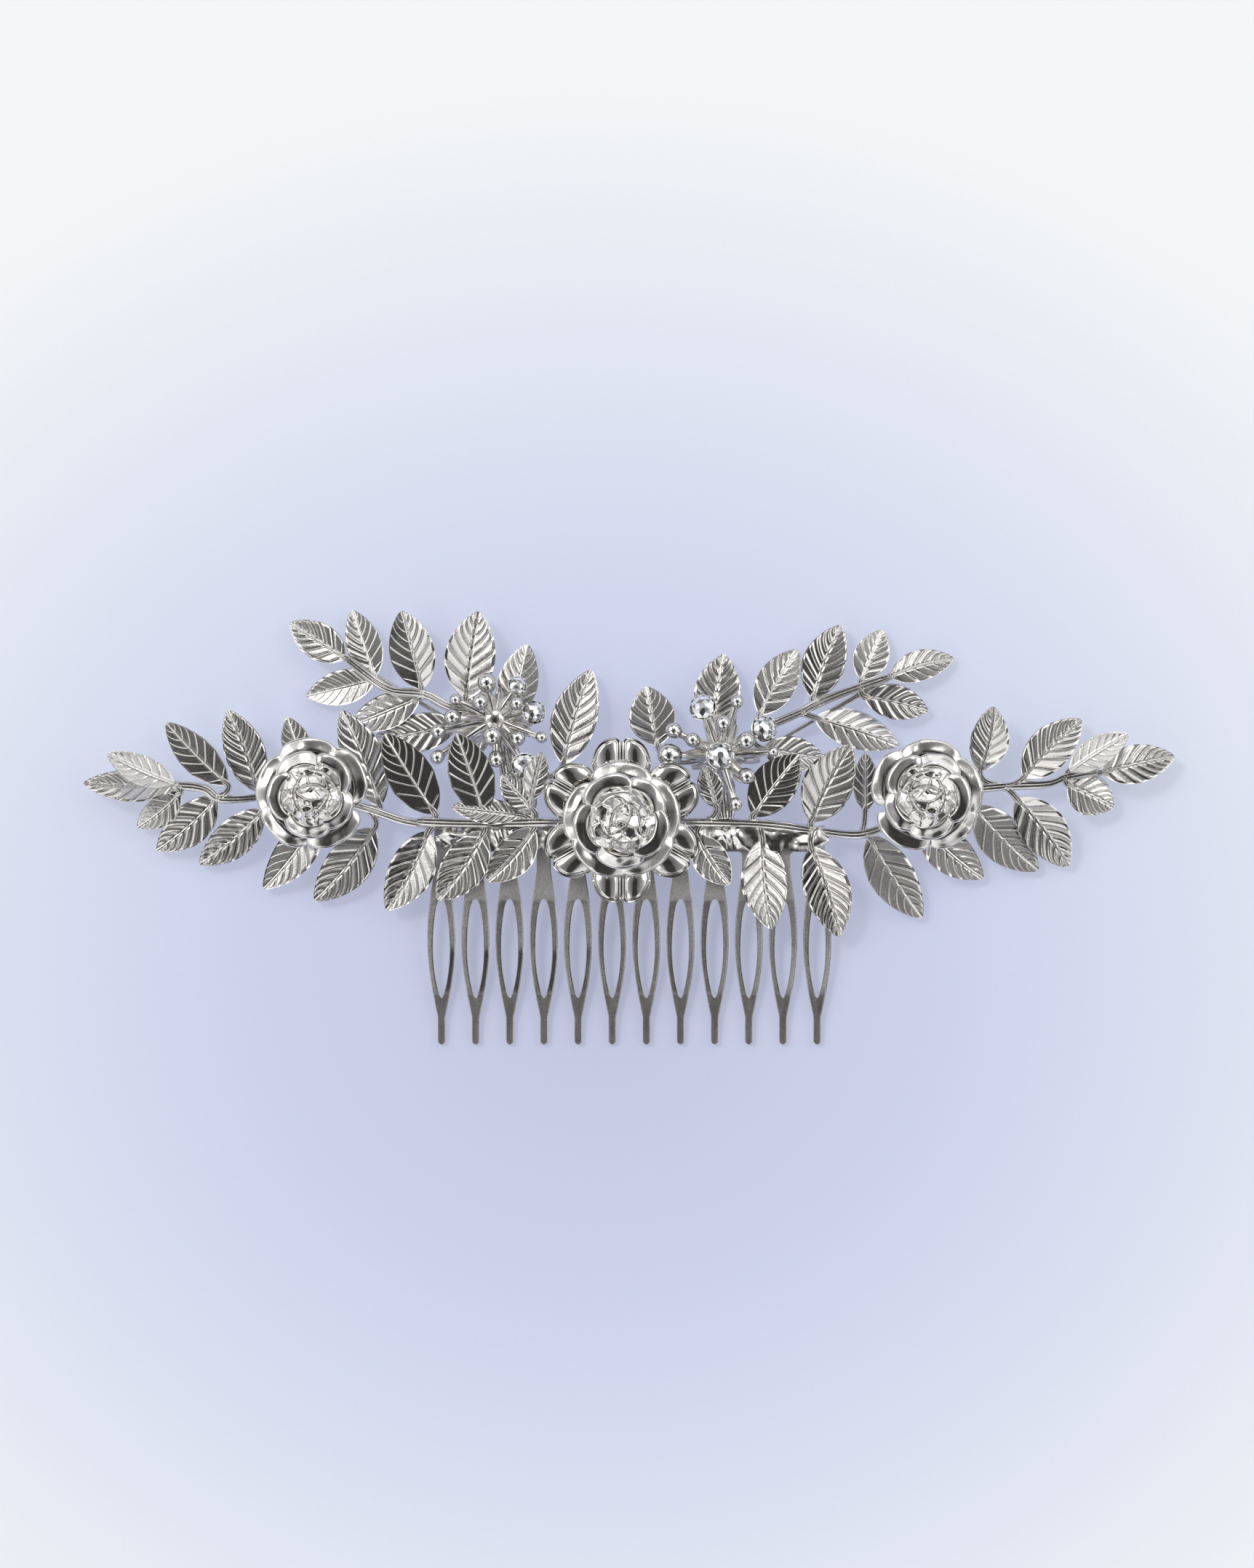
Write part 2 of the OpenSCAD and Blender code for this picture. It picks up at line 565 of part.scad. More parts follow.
module left_bead_1() { bead(left_hub, left_beads[0]); }
module left_bead_2() { bead(left_hub, left_beads[1]); }
module left_bead_3() { bead(left_hub, left_beads[2]); }
module left_bead_4() { bead(left_hub, left_beads[3]); }
module left_bead_5() { bead(left_hub, left_beads[4]); }
module left_bead_6() { bead(left_hub, left_beads[5]); }
module left_bead_7() { bead(left_hub, left_beads[6]); }
module left_bead_8() { bead(left_hub, left_beads[7]); }
module left_bead_9() { bead(left_hub, left_beads[8]); }
module left_bead_10() { bead(left_hub, left_beads[9]); }
module left_bead_11() { bead(left_hub, left_beads[10]); }
module left_crystal_1() { crystal(left_hub, left_crystals[0]); }
module left_crystal_2() { crystal(left_hub, left_crystals[1]); }
module left_crystal_3() { crystal(left_hub, left_crystals[2]); }
module right_bead_1() { bead(right_hub, right_beads[0]); }
module right_bead_2() { bead(right_hub, right_beads[1]); }
module right_bead_3() { bead(right_hub, right_beads[2]); }
module right_bead_4() { bead(right_hub, right_beads[3]); }
module right_bead_5() { bead(right_hub, right_beads[4]); }
module right_bead_6() { bead(right_hub, right_beads[5]); }
module right_bead_7() { bead(right_hub, right_beads[6]); }
module right_bead_8() { bead(right_hub, right_beads[7]); }
module right_bead_9() { bead(right_hub, right_beads[8]); }
module right_crystal_1() { crystal(right_hub, right_crystals[0]); }
module right_crystal_2() { crystal(right_hub, right_crystals[1]); }

// a round cut stone with a flat back, glued on the right hub
module right_hub_crystal() {
    r = hub_crystal_r;
    color(crystal_col) translate([right_hub[0], right_hub[1], right_hub[2] + 1.2])
        rotate_extrude($fn = 12)
            polygon([[0, 0], [0.75 * r, 0], [r, 0.35 * r], [0.95 * r, 0.55 * r], [0.5 * r, 0.9 * r], [0, 0.95 * r]]);
}

comb_plate();
left_end_spray();
right_end_spray();
upper_left_spray();
upper_right_spray();
lower_left_spray();
lower_right_spray();
centre_flower();
centre_rose_outer_petals();
centre_rose_inner_petals();
centre_rose_bud();
centre_rose_rivet();
left_rose_outer_petals();
left_rose_inner_petals();
left_rose_bud();
left_rose_rivet();
right_rose_outer_petals();
right_rose_inner_petals();
right_rose_bud();
right_rose_rivet();
left_cluster_arms();
right_cluster_arms();
left_bead_1();
left_bead_2();
left_bead_3();
left_bead_4();
left_bead_5();
left_bead_6();
left_bead_7();
left_bead_8();
left_bead_9();
left_bead_10();
left_bead_11();
left_crystal_1();
left_crystal_2();
left_crystal_3();
right_bead_1();
right_bead_2();
right_bead_3();
right_bead_4();
right_bead_5();
right_bead_6();
right_bead_7();
right_bead_8();
right_bead_9();
right_crystal_1();
right_crystal_2();
right_hub_crystal();
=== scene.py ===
import math

import bpy
import numpy as np
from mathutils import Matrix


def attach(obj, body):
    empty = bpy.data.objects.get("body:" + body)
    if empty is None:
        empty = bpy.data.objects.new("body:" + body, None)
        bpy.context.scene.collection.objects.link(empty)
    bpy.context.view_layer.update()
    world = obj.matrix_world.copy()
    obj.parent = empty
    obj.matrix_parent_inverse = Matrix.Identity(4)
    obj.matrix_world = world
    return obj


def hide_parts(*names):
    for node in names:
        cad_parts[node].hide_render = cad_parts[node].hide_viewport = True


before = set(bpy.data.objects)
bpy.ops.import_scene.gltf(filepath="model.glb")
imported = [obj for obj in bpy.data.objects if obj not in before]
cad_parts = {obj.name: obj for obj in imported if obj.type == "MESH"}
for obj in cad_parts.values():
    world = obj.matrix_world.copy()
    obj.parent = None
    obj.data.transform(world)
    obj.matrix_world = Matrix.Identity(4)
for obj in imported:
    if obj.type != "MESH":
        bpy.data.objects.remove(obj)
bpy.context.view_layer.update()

# The comb lies on its back on the floor at z = 0: +Z is the ornamental front,
# the tines point to -Y. The tables below repeat the design's tables, in
# millimetres; a mesh is turned into metres only when it is made.

MM = 0.001


# ---------------------------------------------------------------- helpers
def smooth(a, b, x):
    t = np.clip((x - a) / (b - a), 0, 1)
    return t * t * (3 - 2 * t)


def noise_table(seed, n=64):
    return np.random.RandomState(seed).rand(n, n, n) * 2 - 1


_tables = {}


def noise3(p, seed=0):
    """smooth value noise at points p (n, 3), in about -1 to 1"""
    if seed not in _tables:
        _tables[seed] = noise_table(seed, 24)
    t = _tables[seed]
    n = t.shape[0]
    i = np.floor(p).astype(int)
    f = p - i
    f = f * f * (3 - 2 * f)
    out = 0
    for dx in (0, 1):
        for dy in (0, 1):
            for dz in (0, 1):
                w = (f[..., 0] if dx else 1 - f[..., 0]) * (f[..., 1] if dy else 1 - f[..., 1]) * (f[..., 2] if dz else 1 - f[..., 2])
                out = out + w * t[(i[..., 0] + dx) % n, (i[..., 1] + dy) % n, (i[..., 2] + dz) % n]
    return out


def smooth_path(points, per=6):
    """Catmull-Rom through points (n, 3)"""
    p = np.array(points, float)
    if len(p) == 2:
        return p[0] + (p[1] - p[0]) * np.linspace(0, 1, per + 1)[:, None]
    q = np.vstack([2 * p[0] - p[1], p, 2 * p[-1] - p[-2]])
    out = []
    for i in range(1, len(q) - 2):
        for t in np.arange(per) / per:
            a, b, c, d = q[i - 1], q[i], q[i + 1], q[i + 2]
            out.append(0.5 * (2 * b + (c - a) * t + (2 * a - 5 * b + 4 * c - d) * t * t + (3 * b - a - 3 * c + d) * t ** 3))
    out.append(p[-1])
    return np.array(out)


class Mesh:
    """gathers vertices and faces of several closed shells"""

    def __init__(self):
        self.v, self.f, self.n, self.a = [], [], 0, []

    def add(self, v, f, shade=None):
        v = np.asarray(v, float)
        self.v.append(v)
        self.a.append(np.ones(len(v)) if shade is None else np.asarray(shade, float))
        self.f += [tuple(int(i) + self.n for i in q) for q in f]
        self.n += len(v)

    def paint_ball_shade(self, centre_z, r, edge=0.40):
        """painted shade: a ball is painted brighter on top and darker towards its waist and below"""
        for k, v in enumerate(self.v):
            z = smooth(0.35, 0.95, (v[:, 2] - centre_z) / r)
            self.a[k] = self.a[k] * (edge + (1 - edge) * z)

    def make(self, name, material, flat=False, autosmooth=None):
        v = np.vstack(self.v) * MM
        me = bpy.data.meshes.new(name)
        me.from_pydata(v.tolist(), [], self.f)
        me.validate()
        at = me.attributes.new("shade", "FLOAT", "POINT")
        at.data.foreach_set("value", np.concatenate(self.a).astype(np.float32))
        me.polygons.foreach_set("use_smooth", [not flat] * len(me.polygons))
        if autosmooth is not None:
            me.set_sharp_from_angle(angle=math.radians(autosmooth))
        me.materials.append(material)
        me.update()
        o = bpy.data.objects.new(name, me)
        bpy.context.scene.collection.objects.link(o)
        return o


def grid_faces(m, n, base=0, flip=False, wrap_m=False, wrap_n=False):
    out = []
    for i in range(m if wrap_m else m - 1):
        i2 = (i + 1) % m
        for j in range(n if wrap_n else n - 1):
            j2 = (j + 1) % n
            q = (base + i * n + j, base + i2 * n + j, base + i2 * n + j2, base + i * n + j2)
            out.append(q[::-1] if flip else q)
    return out


def closed_sheet(top, bottom, flip=False):
    """a sheet between two grids of points (m, n, 3); returns vertices and faces"""
    m, n = top.shape[:2]
    v = np.vstack([top.reshape(-1, 3), bottom.reshape(-1, 3)])
    N = m * n
    f = grid_faces(m, n, 0, flip) + grid_faces(m, n, N, not flip)

    def rim(a, b):
        q = (a, b, b + N, a + N)
        f.append(q[::-1] if flip else q)

    for j in range(n - 1):
        rim(j, j + 1)
        rim((m - 1) * n + j + 1, (m - 1) * n + j)
    for i in range(m - 1):
        rim((i + 1) * n, i * n)
        rim(i * n + n - 1, (i + 1) * n + n - 1)
    return v, f


def flat_normals(top):
    """unit normals of a grid of points (m, n, 3)"""
    du = np.gradient(top, axis=0)
    dv = np.gradient(top, axis=1)
    k = np.cross(du, dv)
    return k / np.maximum(np.linalg.norm(k, axis=2, keepdims=True), 1e-12)


# ---------------------------------------------------------------- light
# A white tent round the comb. In a mirror-bright metal the shape only reads
# through what it reflects, so the tent has an opening overhead and towards the
# front, softer grey panels round it and brighter panels on both sides.
SKY = [(0.00, 0.26), (0.16, 0.30), (0.34, 0.80), (0.46, 1.08), (0.62, 1.02), (0.75, 0.66), (0.86, 0.34), (0.94, 0.19), (1.00, 0.13)]
PANELS = [  # direction, inner and outer angle, brightness
    ((-0.62, 0.36, 0.70), 13, 18, 2.0),
    ((0.66, 0.30, 0.68), 12, 17, 1.9),
    ((0.05, 0.62, 0.78), 9, 13, 1.7),
    ((-0.50, -0.42, 0.76), 7, 11, 1.3),
    ((0.80, -0.42, 0.42), 11, 17, 0.14),
    ((-0.30, 0.88, 0.36), 9, 15, 0.18),
    ((-0.86, -0.30, 0.40), 8, 13, 0.25),
    ((0.12, -0.90, 0.40), 15, 22, 0.08),
    ((0.00, -0.50, 0.86), 10, 15, 0.05),
    ((0.00, -0.28, 0.96), 11, 16, 0.045),
    ((0.00, -0.02, 1.00), 9, 15, 0.035),
]


def tent(d):
    """brightness of the tent in direction d (n, 3)"""
    d = d / np.linalg.norm(d, axis=-1, keepdims=True)
    out = np.interp(d[..., 2], [s[0] for s in SKY], [s[1] for s in SKY])
    for axis, a, b, value in PANELS:
        k = np.array(axis) / np.linalg.norm(axis)
        c = d @ k
        w = smooth(math.cos(math.radians(b)), math.cos(math.radians(a)), c)
        out = out * (1 - w) + value * w
    return out


def build_world():
    world = bpy.data.worlds.new("studio")
    bpy.context.scene.world = world
    world.use_nodes = True
    nt = world.node_tree
    nt.nodes.clear()
    out = nt.nodes.new("ShaderNodeOutputWorld")
    bg = nt.nodes.new("ShaderNodeBackground")
    coord = nt.nodes.new("ShaderNodeTexCoord")
    sep = nt.nodes.new("ShaderNodeSeparateXYZ")
    norm = nt.nodes.new("ShaderNodeVectorMath")
    norm.operation = "NORMALIZE"
    nt.links.new(coord.outputs["Generated"], norm.inputs[0])
    nt.links.new(norm.outputs[0], sep.inputs[0])
    ramp = nt.nodes.new("ShaderNodeValToRGB")
    el = ramp.color_ramp.elements
    while len(el) < len(SKY):
        el.new(0.5)
    for e, (at, value) in zip(el, SKY):
        e.position = at
        e.color = (value * 0.985, value * 0.985, value, 1)
    nt.links.new(sep.outputs["Z"], ramp.inputs[0])
    last = ramp.outputs[0]
    for axis, a, b, value in PANELS:
        k = np.array(axis) / np.linalg.norm(axis)
        dot = nt.nodes.new("ShaderNodeVectorMath")
        dot.operation = "DOT_PRODUCT"
        dot.inputs[1].default_value = tuple(k)
        nt.links.new(norm.outputs[0], dot.inputs[0])
        rng = nt.nodes.new("ShaderNodeMapRange")
        rng.interpolation_type = "SMOOTHSTEP"
        rng.inputs["From Min"].default_value = math.cos(math.radians(b))
        rng.inputs["From Max"].default_value = math.cos(math.radians(a))
        nt.links.new(dot.outputs["Value"], rng.inputs["Value"])
        mix = nt.nodes.new("ShaderNodeMix")
        mix.data_type = "RGBA"
        mix.clamp_result = False
        mix.inputs[7].default_value = (value, value * 0.985, value * 0.96, 1)
        nt.links.new(rng.outputs[0], mix.inputs[0])
        nt.links.new(last, mix.inputs[6])
        last = mix.outputs[2]
    nt.links.new(last, bg.inputs["Color"])
    bg.inputs["Strength"].default_value = 1.0
    nt.links.new(bg.outputs[0], out.inputs[0])


# ---------------------------------------------------------------- materials
def nodes_of(name):
    m = bpy.data.materials.new(name)
    m.use_nodes = True
    nt = m.node_tree
    nt.nodes.clear()
    out = nt.nodes.new("ShaderNodeOutputMaterial")
    p = nt.nodes.new("ShaderNodeBsdfPrincipled")
    nt.links.new(p.outputs[0], out.inputs[0])
    coord = nt.nodes.new("ShaderNodeTexCoord")
    return m, nt, p, coord.outputs["Object"]


def noise(nt, vector, scale, detail=3.0, rough=0.5, stretch=None):
    if stretch is not None:
        mp = nt.nodes.new("ShaderNodeMapping")
        mp.inputs["Scale"].default_value = stretch
        nt.links.new(vector, mp.inputs[0])
        vector = mp.outputs[0]
    n = nt.nodes.new("ShaderNodeTexNoise")
    n.inputs["Scale"].default_value = scale
    n.inputs["Detail"].default_value = detail
    n.inputs["Roughness"].default_value = rough
    nt.links.new(vector, n.inputs["Vector"])
    return n.outputs[0]


def ramp(nt, value, stops):
    r = nt.nodes.new("ShaderNodeValToRGB")
    el = r.color_ramp.elements
    while len(el) < len(stops):
        el.new(0.5)
    for e, (at, c) in zip(el, stops):
        e.position = at
        e.color = (c[0], c[1], c[2], 1) if hasattr(c, "__len__") else (c, c, c, 1)
    nt.links.new(value, r.inputs[0])
    return r.outputs[0]


def math_node(nt, op, a, b):
    n = nt.nodes.new("ShaderNodeMath")
    n.operation = op
    for i, x in enumerate((a, b)):
        if isinstance(x, (int, float)):
            n.inputs[i].default_value = x
        else:
            nt.links.new(x, n.inputs[i])
    return n.outputs[0]


def mix_colour(nt, fac, a, b, mode="MIX"):
    n = nt.nodes.new("ShaderNodeMix")
    n.data_type = "RGBA"
    n.blend_type = mode
    if isinstance(fac, (int, float)):
        n.inputs[0].default_value = fac
    else:
        nt.links.new(fac, n.inputs[0])
    for i, x in ((6, a), (7, b)):
        if hasattr(x, "__len__"):
            n.inputs[i].default_value = (*x, 1)
        else:
            nt.links.new(x, n.inputs[i])
    return n.outputs[2]


def silver(name, colour, dark, rough, spread, pit=1.0, grain=1.0):
    """plated metal: slow changes of tone, finer pits, and a dark colour mixed in by the shade attribute: tarnish and
    painted shade in the hollows, under the parts and on their shaded sides
    """
    m, nt, p, at = nodes_of(name)
    p.inputs["Metallic"].default_value = 1.0
    slow = noise(nt, at, 260, 2)
    fine = noise(nt, at, 2600, 4, 0.6)
    pits = noise(nt, at, 6500, 2, 0.6)
    tone = ramp(nt, slow, [(0.3, [c * 0.93 for c in colour]), (0.7, colour)])
    shade = nt.nodes.new("ShaderNodeAttribute")
    shade.attribute_name = "shade"
    # painted shade: where the shade attribute is low (noise adds a little wear), the colour goes towards the dark one
    shade_and_wear = math_node(nt, "ADD", shade.outputs["Fac"], math_node(nt, "MULTIPLY", math_node(nt, "SUBTRACT", fine, 0.5), 0.35))
    fac = ramp(nt, shade_and_wear, [(0.25, 1.0), (0.85, 0.0)])
    nt.links.new(mix_colour(nt, fac, tone, dark), p.inputs["Base Color"])
    r = math_node(nt, "ADD", math_node(nt, "MULTIPLY", math_node(nt, "SUBTRACT", fine, 0.5), spread), rough)
    nt.links.new(r, p.inputs["Roughness"])
    h = math_node(nt, "ADD", math_node(nt, "MULTIPLY", fine, 1.0), math_node(nt, "MULTIPLY", pits, 0.35 * grain))
    b = nt.nodes.new("ShaderNodeBump")
    b.inputs["Strength"].default_value = 0.35 * pit
    b.inputs["Distance"].default_value = 0.00004
    nt.links.new(h, b.inputs["Height"])
    nt.links.new(b.outputs[0], p.inputs["Normal"])
    return m


def plate_metal():
    """the comb plate's satin metal: fine grain drawn along the tines"""
    m, nt, p, at = nodes_of("comb_metal")
    p.inputs["Metallic"].default_value = 1.0
    grain = noise(nt, at, 1500, 5, 0.7, (1.0, 0.16, 1.0))
    speck = noise(nt, at, 5200, 3, 0.7)
    slow = noise(nt, at, 190, 2)
    tone = ramp(nt, slow, [(0.3, (0.60, 0.59, 0.57)), (0.7, (0.74, 0.73, 0.71))])
    dots = ramp(nt, speck, [(0.36, (0.62, 0.62, 0.62)), (0.6, (1.0, 1.0, 1.0))])
    nt.links.new(mix_colour(nt, 0.7, tone, dots, "MULTIPLY"), p.inputs["Base Color"])
    rubbed = nt.nodes.new("ShaderNodeAttribute")
    rubbed.attribute_name = "shade"
    satin = math_node(nt, "MULTIPLY", rubbed.outputs["Fac"], 0.32)
    nt.links.new(math_node(nt, "ADD", satin, ramp(nt, grain, [(0.3, 0.17), (0.7, 0.28)])), p.inputs["Roughness"])
    b = nt.nodes.new("ShaderNodeBump")
    b.inputs["Strength"].default_value = 0.4
    b.inputs["Distance"].default_value = 0.00003
    nt.links.new(math_node(nt, "ADD", grain, math_node(nt, "MULTIPLY", speck, 0.6)), b.inputs["Height"])
    nt.links.new(b.outputs[0], p.inputs["Normal"])
    return m


def crystal_glass():
    m, nt, p, at = nodes_of("clear_crystal")
    p.inputs["Metallic"].default_value = 0.90   # foil-backed stones
    p.inputs["Transmission Weight"].default_value = 0.9
    p.inputs["IOR"].default_value = 1.75
    n = noise(nt, at, 900, 2)
    nt.links.new(ramp(nt, n, [(0.3, (0.93, 0.95, 0.97)), (0.7, (1.0, 1.0, 1.0))]), p.inputs["Base Color"])
    nt.links.new(ramp(nt, n, [(0.3, 0.0), (0.7, 0.03)]), p.inputs["Roughness"])
    return m


def floor_paint():
    m, nt, p, at = nodes_of("pale_floor")
    mp = nt.nodes.new("ShaderNodeMapping")
    mp.inputs["Location"].default_value = (0.004 / 0.13, 0.020 / 0.115, 0)
    mp.inputs["Scale"].default_value = (1 / 0.13, 1 / 0.115, 0)
    nt.links.new(at, mp.inputs[0])
    length = nt.nodes.new("ShaderNodeVectorMath")
    length.operation = "LENGTH"
    nt.links.new(mp.outputs[0], length.inputs[0])
    paper = noise(nt, at, 1400, 3, 0.6)
    d = math_node(nt, "ADD", length.outputs["Value"], math_node(nt, "MULTIPLY", math_node(nt, "SUBTRACT", paper, 0.5), 0.05))
    # the floor's lavender with a painted light falloff: darker in the middle, paler towards the edges
    c = ramp(nt, d, FLOOR_AND_FALLOFF)
    nt.links.new(c, p.inputs["Base Color"])
    nt.links.new(c, p.inputs["Emission Color"])     # painted light: the floor glows in its own colour, which keeps its shadows faint
    p.inputs["Emission Strength"].default_value = 1.0
    p.inputs["Roughness"].default_value = 0.85
    p.inputs["Specular IOR Level"].default_value = 0.15
    b = nt.nodes.new("ShaderNodeBump")
    b.inputs["Strength"].default_value = 0.25
    b.inputs["Distance"].default_value = 0.00005
    nt.links.new(paper, b.inputs["Height"])
    nt.links.new(b.outputs[0], p.inputs["Normal"])
    return m


# floor colour with a painted light falloff, darker in the middle
FLOOR_AND_FALLOFF = [
    (0.0, (0.290, 0.308, 0.400)),
    (0.36, (0.332, 0.352, 0.452)),
    (0.60, (0.378, 0.402, 0.470)),
    (0.80, (0.427, 0.449, 0.488)),
    (1.0, (0.487, 0.493, 0.497)),
]

SILVER = (0.86, 0.845, 0.815)
# the dark colour of tarnish and of painted shade
TARNISH_AND_SHADE = (0.30, 0.29, 0.27)
leaf_silver = silver("leaf_silver", SILVER, TARNISH_AND_SHADE, 0.13, 0.10)
flower_silver = silver("flower_silver", SILVER, TARNISH_AND_SHADE, 0.10, 0.08, 0.3)
rose_silver = silver("rose_silver", (0.88, 0.865, 0.835), TARNISH_AND_SHADE, 0.12, 0.10, 0.9)
bead_silver = silver("bead_silver", (0.93, 0.925, 0.91), TARNISH_AND_SHADE, 0.05, 0.04, 0.3)
fitting_silver = silver("fitting_silver", SILVER, TARNISH_AND_SHADE, 0.12, 0.08)
comb_metal = plate_metal()
clear_crystal = crystal_glass()


# ---------------------------------------------------------------- leaves
LEAF_T = 0.38
TONES = {"K": 0.04, "D": 0.08, "M": 0.19, "L": 0.23, "W": 1.0}
# height, share of the period that stands up, width of the walls, crown of the
# bars, crumpling
STYLES = {
    "line": (0.050, 0.09, 0.09, 0.0, 0.0),
    "bar": (0.13, 0.66, 0.165, 0.012, 0.0),
    "wave": (0.10, 0.47, 0.25, 0.0, 0.0),
    "slot": (0.02, 0.74, 0.12, 0.0, 0.0),
    "crump": (0.16, 0.54, 0.15, 0.02, 0.07),
}
# tip x, tip y, base x, base y, base z, tip z, full width, tone of the left and
# right half, relief of the left and right half, sideways bow
LEAVES = {
    "left_end_spray": [
        (-69.4, 5.6, -57.3, 5.4, 3.6, 2.4, 3.9, "WM", "bar", "bar", 0.2),
        (-66.1, 9.4, -57.8, 5.6, 3.6, 5.6, 3.6, 48, "slot", "slot", 0.2),
        (-58.9, 13.3, -51.1, 5.5, 3.3, 2.6, 4.2, "DD", "line", "line", 0.2),
        (-62.6, 0.0, -57.1, 4.4, 3.5, 1.6, 3.7, "MM", "wave", "line", 0.3),
        (-60.1, -2.9, -52.4, 3.7, 3.3, 1.4, 4.8, "LM", "wave", "wave", 0.35),
        (-54.7, -4.7, -46.5, 2.1, 3.2, 1.3, 4.6, "DM", "crump", "crump", 0.3),
        (-51.0, 14.9, -47.2, 4.6, 3.2, 3.4, 4.8, "MD", "wave", "bar", -0.2),
        (-43.5, 14.0, -41.2, 7.2, 3.2, 2.4, 3.5, "MD", "line", "line", 0.0),
        (-36.5, 14.8, -31.7, 2.8, 3.2, 4.6, 5.1, "LM", "wave", "bar", -0.3),
        (-46.5, -7.8, -39.3, 1.7, 3.2, 1.3, 4.8, "WM", "bar", "line", 0.45),
        (-40.0, -9.3, -32.4, -0.2, 3.2, 1.2, 5.4, "DM", "bar", "wave", 0.4),
    ],
    "right_end_spray": [
        (37.2, -11.5, 30.4, -1.1, 3.2, 1.1, 5.4, "LM", "bar", "line", -0.3),
        (45.0, -6.5, 36.9, 0.7, 3.2, 1.2, 5.1, "LL", "slot", "slot", -0.4),
        (52.0, -5.5, 43.8, 2.6, 3.2, 1.2, 5.4, "LM", "bar", "line", -0.4),
        (55.9, -5.0, 49.2, 3.7, 3.3, 1.2, 5.5, "WL", "wave", "wave", 0.3),
        (61.6, 2.6, 55.7, 5.4, 3.4, 2.2, 5.0, "WL", "bar", "bar", 0.1),
        (69.3, 9.0, 60.0, 7.0, 3.6, 2.4, 4.6, "WW", "wave", "wave", 0.1),
        (63.2, 11.8, 55.9, 7.2, 3.5, 5.4, 3.6, -46, "slot", "slot", 0.2),
        (57.5, 13.7, 50.1, 6.3, 3.3, 2.0, 5.1, "MW", "bar", "bar", 0.3),
        (46.2, 15.3, 44.6, 7.2, 3.2, 4.2, 4.6, "MW", "wave", "wave", -0.4),
        (30.0, 9.5, 30.0, 2.1, 3.2, 3.3, 3.1, "DD", "line", "line", 0.0),
    ],
    "upper_left_spray": [
        (-43.2, 26.0, -36.1, 21.5, 2.4, 1.0, 4.4, "WM", "bar", "bar", 0.0),
        (-35.3, 27.6, -32.4, 19.2, 2.4, 0.8, 4.2, "MM", "wave", "line", 0.0),
        (-29.0, 27.5, -26.4, 17.6, 2.6, 1.7, 5.4, "DW", "line", "bar", 0.0),
        (-41.1, 16.7, -32.4, 18.8, 2.4, 0.9, 4.2, "WM", "line", "bar", 0.0),
        (-35.6, 12.8, -26.8, 16.4, 2.6, 1.3, 4.2, "LL", "slot", "slot", 0.0),
        (-32.6, 11.1, -21.8, 13.2, 2.8, 1.4, 4.6, "LM", "wave", "wave", 0.2),
        (-19.2, 27.4, -20.8, 16.4, 2.9, 2.6, 6.0, "WW", "bar", "bar", 0.2),
        (-13.0, 23.3, -15.3, 13.7, 2.9, 1.2, 4.8, "WM", "wave", "line", 0.0),
        (-4.9, 20.0, -8.4, 8.1, 2.9, 1.6, 5.4, "MW", "bar", "bar", 0.3),
    ],
    "upper_right_spray": [
        (21.4, 22.6, 16.6, 14.4, 2.8, 0.9, 4.8, "LL", "slot", "slot", 0.2),
        (26.9, 25.7, 23.3, 16.4, 2.6, 1.6, 5.1, "DM", "wave", "bar", 0.3),
        (32.3, 25.1, 29.5, 18.8, 2.5, 0.8, 4.2, "MM", "slot", "wave", 0.0),
        (41.3, 21.5, 33.2, 19.2, 2.4, 1.0, 3.7, "WL", "wave", "slot", 0.3),
        (38.0, 14.8, 30.0, 16.6, 2.5, 1.2, 4.2, "ML", "wave", "wave", 0.2),
        (34.3, 10.4, 23.7, 13.9, 2.7, 1.2, 4.6, "WL", "wave", "slot", 0.2),
        (24.9, 8.6, 17.0, 10.0, 2.9, 1.8, 4.2, "LW", "wave", "wave", 0.0),
        (12.0, 22.0, 11.0, 12.8, 2.9, 1.4, 5.5, "MD", "crump", "crump", 0.3),
        (2.1, 17.9, 3.6, 10.4, 2.9, 1.8, 5.5, "LM", "bar", "line", 0.0),
    ],
    "lower_left_spray": [
        (-31.0, 11.8, -24.7, 1.8, 3.9, 5.6, 5.5, "KK", "line", "line", 0.1),
        (-21.9, 11.9, -18.5, 1.7, 3.9, 6.6, 5.4, "KK", "line", "line", -0.1),
        (-30.8, -10.5, -25.5, -0.6, 3.9, 2.4, 5.4, "WD", "bar", "crump", 0.4),
        (-24.3, -9.2, -18.5, -0.6, 3.9, 3.6, 5.4, "ML", "bar", "crump", 0.4),
        (-18.1, -6.9, -12.1, -0.2, 3.9, 3.6, 4.6, "LL", "slot", "slot", 0.4),
        (-11.1, 9.5, -12.5, 3.5, 4.4, 8.0, 3.1, "WD", "bar", "bar", 0.0),
        (-16.2, 6.7, -12.1, 2.1, 4.1, 4.4, 3.7, "LL", "wave", "wave", 0.0),
        (-22.5, 2.6, -13.9, 1.6, 4.0, 4.3, 3.1, "LL", "wave", "wave", 0.0),
    ],
    "lower_right_spray": [
        (21.5, 9.2, 15.7, 1.5, 3.9, 5.4, 5.4, "KK", "line", "bar", 0.2),
        (28.0, 10.4, 23.1, 0.7, 3.9, 5.0, 6.0, "WM", "bar", "bar", 0.3),
        (18.0, -12.9, 16.9, -1.6, 3.9, 4.2, 5.5, "WW", "bar", "bar", -0.3),
        (26.7, -13.9, 23.1, -2.5, 3.9, 3.0, 5.5, "WD", "bar", "crump", 0.3),
        (12.7, -7.3, 8.7, -1.1, 4.0, 3.7, 4.2, "LL", "slot", "slot", -0.3),
        (9.5, 7.9, 11.0, 2.6, 4.2, 5.0, 3.1, "DD", "bar", "bar", 0.0),
    ],
}
